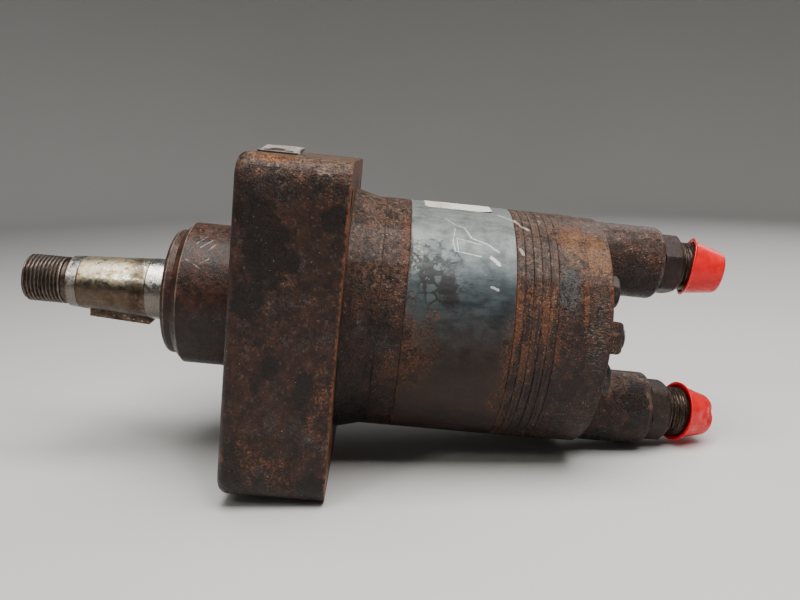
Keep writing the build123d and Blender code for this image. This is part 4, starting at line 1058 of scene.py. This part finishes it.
def cap_grid(side):
    """Rows spun round the cap's own axis, from the middle of the closed end over the wall and rim and
    back inside. The wall's radius falls evenly towards the end, the rim sways along the axis with the
    angle, and each dent pushes in by its depth times exp(-distance squared over its size squared)."""
    end, end_inside = CAP_LENGTH, CAP_LENGTH - CAP_WALL
    outer = steps((end - 0.5, 0.0), (end - 0.5, 9.6, 5), (end - 0.35, 10.3), (end - 0.05, 10.9),
                  (end, 11.5), (end, 12.2), (end - 0.25, 13.0), (end - 0.8, 13.7), (end - 1.6, 14.2),
                  (end - 2.4, 14.6), (2.6, 18.5, 20), (1.7, 18.9), (1.25, 19.4), (1.15, 20.1, 2),
                  (0.9, CAP_RIM), (0.35, CAP_RIM), (0.1, 20.2), (0.15, 18.6, 2), (0.8, 18.0),
                  (2.0, 17.55))
    inner = steps((2.1, 17.52), (end_inside - 1.2, 13.5, 20), (end_inside - 0.5, 13.1),
                  (end_inside - 0.3, 12.0), (end_inside - 0.5, 0.0, 4))
    rows = np.vstack([outer, inner])
    x, radius = rows[:, :1], rows[:, 1:]
    angle = np.linspace(0.0, 2.0 * np.pi, 97)[None, :-1]
    flare = np.clip((radius - 17.2) / 3.0, 0.0, 1.0) * np.exp(-((x - 0.6) / 1.6) ** 2)
    near_end = np.clip((x - 8.0) / 14.0, 0.0, 1.0)
    twist = 0.7 if side == "upper" else 2.6
    sway = 0.55 * np.sin(2 * angle + twist) + 0.30 * np.sin(3 * angle - 1.3 * twist)
    sway = sway + 0.18 * np.sin(5 * angle + twist)
    swell = 0.22 * np.sin(2 * angle - twist) + 0.12 * np.sin(3 * angle + 2 * twist)
    reach = radius * (1.0 + 0.010 * np.sin(2 * angle + 1.0))
    reach = reach - 0.25 * flare * (1.0 + np.sin(3 * angle + twist))
    reach = reach + swell * np.minimum(1.0, radius / 14.0) * near_end - 0.12 * near_end
    along = x + 0.75 * flare * (sway - 0.2)
    dents = {"upper": [((22.0, 8.0, 6.0), 0.5, 5.0), ((9.0, -15.0, 8.0), 0.35, 5.0)],
             "lower": [((20.5, -12.0, 7.0), 2.0, 3.2), ((18.5, -14.0, 0.5), 1.9, 2.6),
                       ((12.5, -15.8, 4.5), 1.1, 3.2), ((22.6, -6.0, 1.0), 1.1, 4.0),
                       ((11.0, -15.0, -7.5), 0.6, 4.0), ((22.0, 9.0, -6.0), 0.6, 5.0)]}[side]
    y, z = reach * np.sin(angle), -reach * np.cos(angle)
    for (dx, dy, dz), depth, size in dents:
        push = depth * np.exp(-((along - dx) ** 2 + (y - dy) ** 2 + (z - dz) ** 2) / size ** 2)
        along = along - 0.6 * push * near_end
        y, z = y - push * y / 16.0, z - push * z / 16.0
    start, pitch, yaw = CAP_SETTINGS[side]
    pitch, yaw = math.radians(pitch), math.radians(yaw)
    tip = np.array([[math.cos(pitch), 0.0, math.sin(pitch)], [0.0, 1.0, 0.0],
                    [-math.sin(pitch), 0.0, math.cos(pitch)]])
    turn = np.array([[math.cos(yaw), -math.sin(yaw), 0.0], [math.sin(yaw), math.cos(yaw), 0.0],
                     [0.0, 0.0, 1.0]])
    return 0.001 * (np.stack([along, y, z], -1) @ (tip @ turn).T + np.array((start, *PORTS[side])))


red = Finish("red cap plastic")
cap_cloud = red.grain(0.010, 3.0, 0.55, shift=2.0)
cap_haze = red.grain(0.0022, 5.0, 0.7, shift=5.0)
red.base(cap_cloud, 0.35, 0.70, (0.62, 0.004, 0.009), (0.84, 0.010, 0.018))
red.lay(red.ramp(cap_haze, 0.60, 0.68), (0.20, 0.020, 0.016), 0.45)
cap_scuff = red.ramp(red.grain(0.0009, 2.0, 0.5, stretch=(8.0, 1.0, 1.0), shift=9.0), 0.70, 0.74)
red.lay(cap_scuff, (0.90, 0.22, 0.20), 0.35)
red.gloss(red.line(cap_scuff, 0.25, red.ramp(cap_haze, 0.40, 0.70, 0.17, 0.34)))
red.fixed({"Subsurface Weight": 0.35, "Subsurface Scale": 0.003, "Subsurface Radius": (1.0, 0.15, 0.12),
           "Specular IOR Level": 0.2, "Coat Weight": 0.22, "Coat Roughness": 0.07})
red.relief((red.grain(0.006, 2.0, 0.5, shift=1.0), 0.00035), (cap_haze, 0.00004))

for side in CAP_SETTINGS:
    cap = skin(f"{side}_red_cap", cap_grid(side), crease=60.0)
    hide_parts(f"cap_{side}")
    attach(cap, f"{side}_cap_body")
    red.on(cap)

# ------------------------------------------------------------
# Name plate: a small stamped aluminium tag, left blank, on the flange's upper edge. Two drive screws
# hold its front strip, and the rest, with a slot, is bent up a little.
PLATE_X, PLATE_Y, PLATE_FOOT, PLATE_THICK = (6.0, 29.5), (-64.0, -26.0), 12.0, 1.2
PLATE_LIFT, FLANGE_TOP, SLOT_MIDDLE, SLOT_SIZE = 3.27, 100.0, (15.5, -48.0), (8.0, 3.0)


def squared(turn, size, power):
    """Outline of a box with round corners: in the direction t the distance from the middle is
    (|cos t / a|^n + |sin t / b|^n)^(-1/n)."""
    a, b = size[0] / 2, size[1] / 2
    far = (np.abs(np.cos(turn) / a) ** power + np.abs(np.sin(turn) / b) ** power) ** (-1.0 / power)
    return np.stack([far * np.cos(turn), far * np.sin(turn)], -1)


def plate_grid():
    """A closed loop of rings between the slot's outline and the plate's: over the top, round the rim,
    and back underneath. Behind the foot the height grows in proportion, and the leaf sways a little."""
    turn = np.linspace(0.0, 2.0 * np.pi, 145)[:-1]
    turn = turn - 0.17 * np.sin(4 * turn)
    size = (PLATE_X[1] - PLATE_X[0], PLATE_Y[1] - PLATE_Y[0])
    middle = np.array([sum(PLATE_X) / 2, sum(PLATE_Y) / 2])
    inner = squared(turn, SLOT_SIZE, 8.0) + np.array(SLOT_MIDDLE)
    outer = squared(turn, size, 30.0) + middle
    top = PLATE_THICK
    rows = np.array([(0.0, 0.9), (0.01, 1.12), (0.04, top), (0.14, top), (0.28, top), (0.42, top),
                     (0.56, top), (0.70, top), (0.84, top), (0.965, top), (0.99, 1.1), (1.0, 0.85),
                     (1.0, 0.2), (0.99, 0.0), (0.8, 0.0), (0.6, 0.0), (0.4, 0.0), (0.2, 0.0),
                     (0.0, 0.0)])
    share, height = rows[:, :1, None], rows[:, 1:]
    flat = (1.0 - share) * inner + share * outer
    x, y = flat[..., 0], flat[..., 1]
    back = np.clip(y - PLATE_Y[0] - PLATE_FOOT, 0.0, None) / (size[1] - PLATE_FOOT)
    rise = PLATE_LIFT * (back + 0.03 * np.sin(np.pi * np.clip(back, 0.0, 1.0)))
    sway = 0.18 * back * np.sin(0.28 * (x - 6.0)) * np.cos(0.2 * (y + 40.0))
    sway = sway - 0.22 * back ** 2 * ((x - 17.5) / 11.5) ** 2
    return 0.001 * np.stack([x, y, FLANGE_TOP + height + np.clip(rise + sway, 0.0, PLATE_LIFT)], -1)


def drive_screw(x):
    """Rows (r, z) spun round an upright line: a plain pin, then a low domed head."""
    rows = np.array([(0.0, 93.6), (1.3, 93.6), (1.6, 94.1), (1.6, 101.2), (2.8, 101.2), (3.0, 101.35),
                     (2.95, 101.6), (2.6, 101.8), (1.9, 101.92), (1.0, 101.98), (0.0, 102.0)])
    turn = np.linspace(0.0, 2.0 * np.pi, 37)[None, :-1]
    r, z = rows[:, :1], rows[:, 1:]
    return 0.001 * np.stack([x + r * np.cos(turn), PLATE_Y[0] + PLATE_FOOT / 2 + r * np.sin(turn),
                             z + 0.0 * turn], -1)


plate = skin("stamped_plate", plate_grid(), wrap_rows=True, crease=40.0)
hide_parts("name_plate")
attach(plate, "motor")
screws = skin("drive_screws", [drive_screw(12.0), drive_screw(23.5)], crease=40.0)
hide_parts("plate_screws")
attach(screws, "motor")

tag = Finish("weathered plate", metal=0.7)
tag_cloud = tag.grain(0.006, 6.0, 0.7, shift=3.0)
tag_fine = tag.edge = tag.grain(0.0010, 4.0, 0.7, shift=6.0)
tag_brush = tag.grain(0.0004, 2.0, 0.5, stretch=(1.0, 30.0, 1.0), shift=9.0)
tag.base(tag_brush, 0.35, 0.65, (0.42, 0.36, 0.31), (0.64, 0.58, 0.52))
tag.lay(tag.ramp(tag_cloud, 0.53, 0.66), (0.13, 0.085, 0.060))
tag.lay(tag.ramp(tag_fine, 0.58, 0.66), (0.24, 0.11, 0.05))
# Darkened round the slot and the screw heads, with painted shade on the plate's front edges and at its
# right end.
tag_dirt_and_shade = tag.most(tag.spot((15.5, -47, 101.7), (6.0, 7.5, 6), 0.4, 0.75),
                    tag.fall(tag.facing("Y"), -0.75, -0.45),
                    tag.spot((12, -58, 101), (3.8, 3.6, 6), 0.5, 0.7),
                    tag.spot((24, -58, 101), (3.4, 3.4, 6), 0.5, 0.7),
                    tag.spot((30, -40, 103), (2.6, 14, 6), 0.6, 0.6))
tag.lay(tag_dirt_and_shade, (0.022, 0.016, 0.013), 0.9)
tag.gloss(tag.ramp(tag_cloud, 0.35, 0.65, 0.34, 0.66))
tag.relief((tag_cloud, 0.00020), (tag_fine, 0.00014), (tag_brush, 0.00002))
tag.on(plate, screws)

# ------------------------------------------------------------
# Label: a white paper sticker, left blank, on top of the geroler ring. It is stained with oil, a
# little ragged at its edges, and starts to lift at one corner.
LABEL_X, LABEL_TURN, LABEL_FOOT, LABEL_THICK = (108.5, 152.5), (155.0, 194.0), 77.52, 0.25


def label_grid():
    """Rings from the middle of the upper face to its edge and back under to the middle, rolled onto the
    ring: the first direction runs along X, and the second is an angle. One corner rises with
    the power 1.5 of the product of its two overhangs."""
    turn = np.linspace(0.0, 2.0 * np.pi, 129)[:-1]
    wide = LABEL_X[1] - LABEL_X[0]
    long = math.radians(LABEL_TURN[1] - LABEL_TURN[0]) * LABEL_FOOT
    outline = squared(turn, (wide, long), 24.0)
    outline = outline * (1.0 + 0.004 * np.sin(23 * turn) * np.sin(7 * turn + 1.0) - 0.004)[:, None]
    rings = [(0.0, 1.0), (0.1, 1.0), (0.25, 1.0), (0.4, 1.0), (0.55, 1.0), (0.7, 1.0), (0.85, 1.0),
             (0.95, 1.0), (0.996, 1.0), (1.0, 0.6), (1.0, 0.0), (0.9, 0.0), (0.7, 0.0),
             (0.5, 0.0), (0.3, 0.0), (0.1, 0.0), (0.0, 0.0)]
    share, side = np.array(rings)[:, :1, None], np.array(rings)[:, 1:]
    flat = share * outline
    angle = math.radians(sum(LABEL_TURN) / 2) + flat[..., 1] / LABEL_FOOT
    u, v = flat[..., 0] / (wide / 2), flat[..., 1] / (long / 2)
    lift = 0.9 * (np.clip(u - 0.55, 0.0, None) * np.clip(v - 0.65, 0.0, None) / (0.45 * 0.35)) ** 1.5
    fade = np.clip(1.2 - np.abs(v), 0.0, 1.0)
    ripple = 0.06 * np.sin(5.0 * u + 2.0 * v) * np.sin(4.0 * v + 1.0) * fade * side
    radius = LABEL_FOOT + LABEL_THICK * side + lift + np.abs(ripple)
    return spun(sum(LABEL_X) / 2 + flat[..., 0], radius, angle)


sticker = skin("paper_sticker", label_grid(), crease=50.0)
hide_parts("label")
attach(sticker, "motor")

paper = Finish("stained paper", roughness=0.6)
paper_edge = paper.grain(0.005, 6.0, 0.7, shift=2.0)
paper_wide = paper.grain(0.022, 4.0, 0.6, shift=5.0)
paper_fibre = paper.grain(0.0004, 3.0, 0.6, shift=8.0)
paper.base(paper_fibre, 0.35, 0.65, (0.60, 0.57, 0.50), (0.70, 0.67, 0.60))
paper.lay(paper.ramp(paper_wide, 0.46, 0.68), (0.42, 0.36, 0.27))
paper_oil = paper.ramp(paper.parts(paper_edge, 0.6, paper_wide, 0.4), 0.56, 0.62)
paper.lay(paper_oil, (0.15, 0.105, 0.070), 0.8)
paper_speck = paper.ramp(paper.grain(0.0010, 3.0, 0.6, shift=12.0), 0.68, 0.72)
paper.lay(paper_speck, (0.10, 0.075, 0.055))
paper.gloss(paper.line(paper_oil, -0.22, 0.66))
paper.relief((paper_wide, 0.00030), (paper_edge, 0.00010), (paper_fibre, 0.00002))
paper.on(sticker)
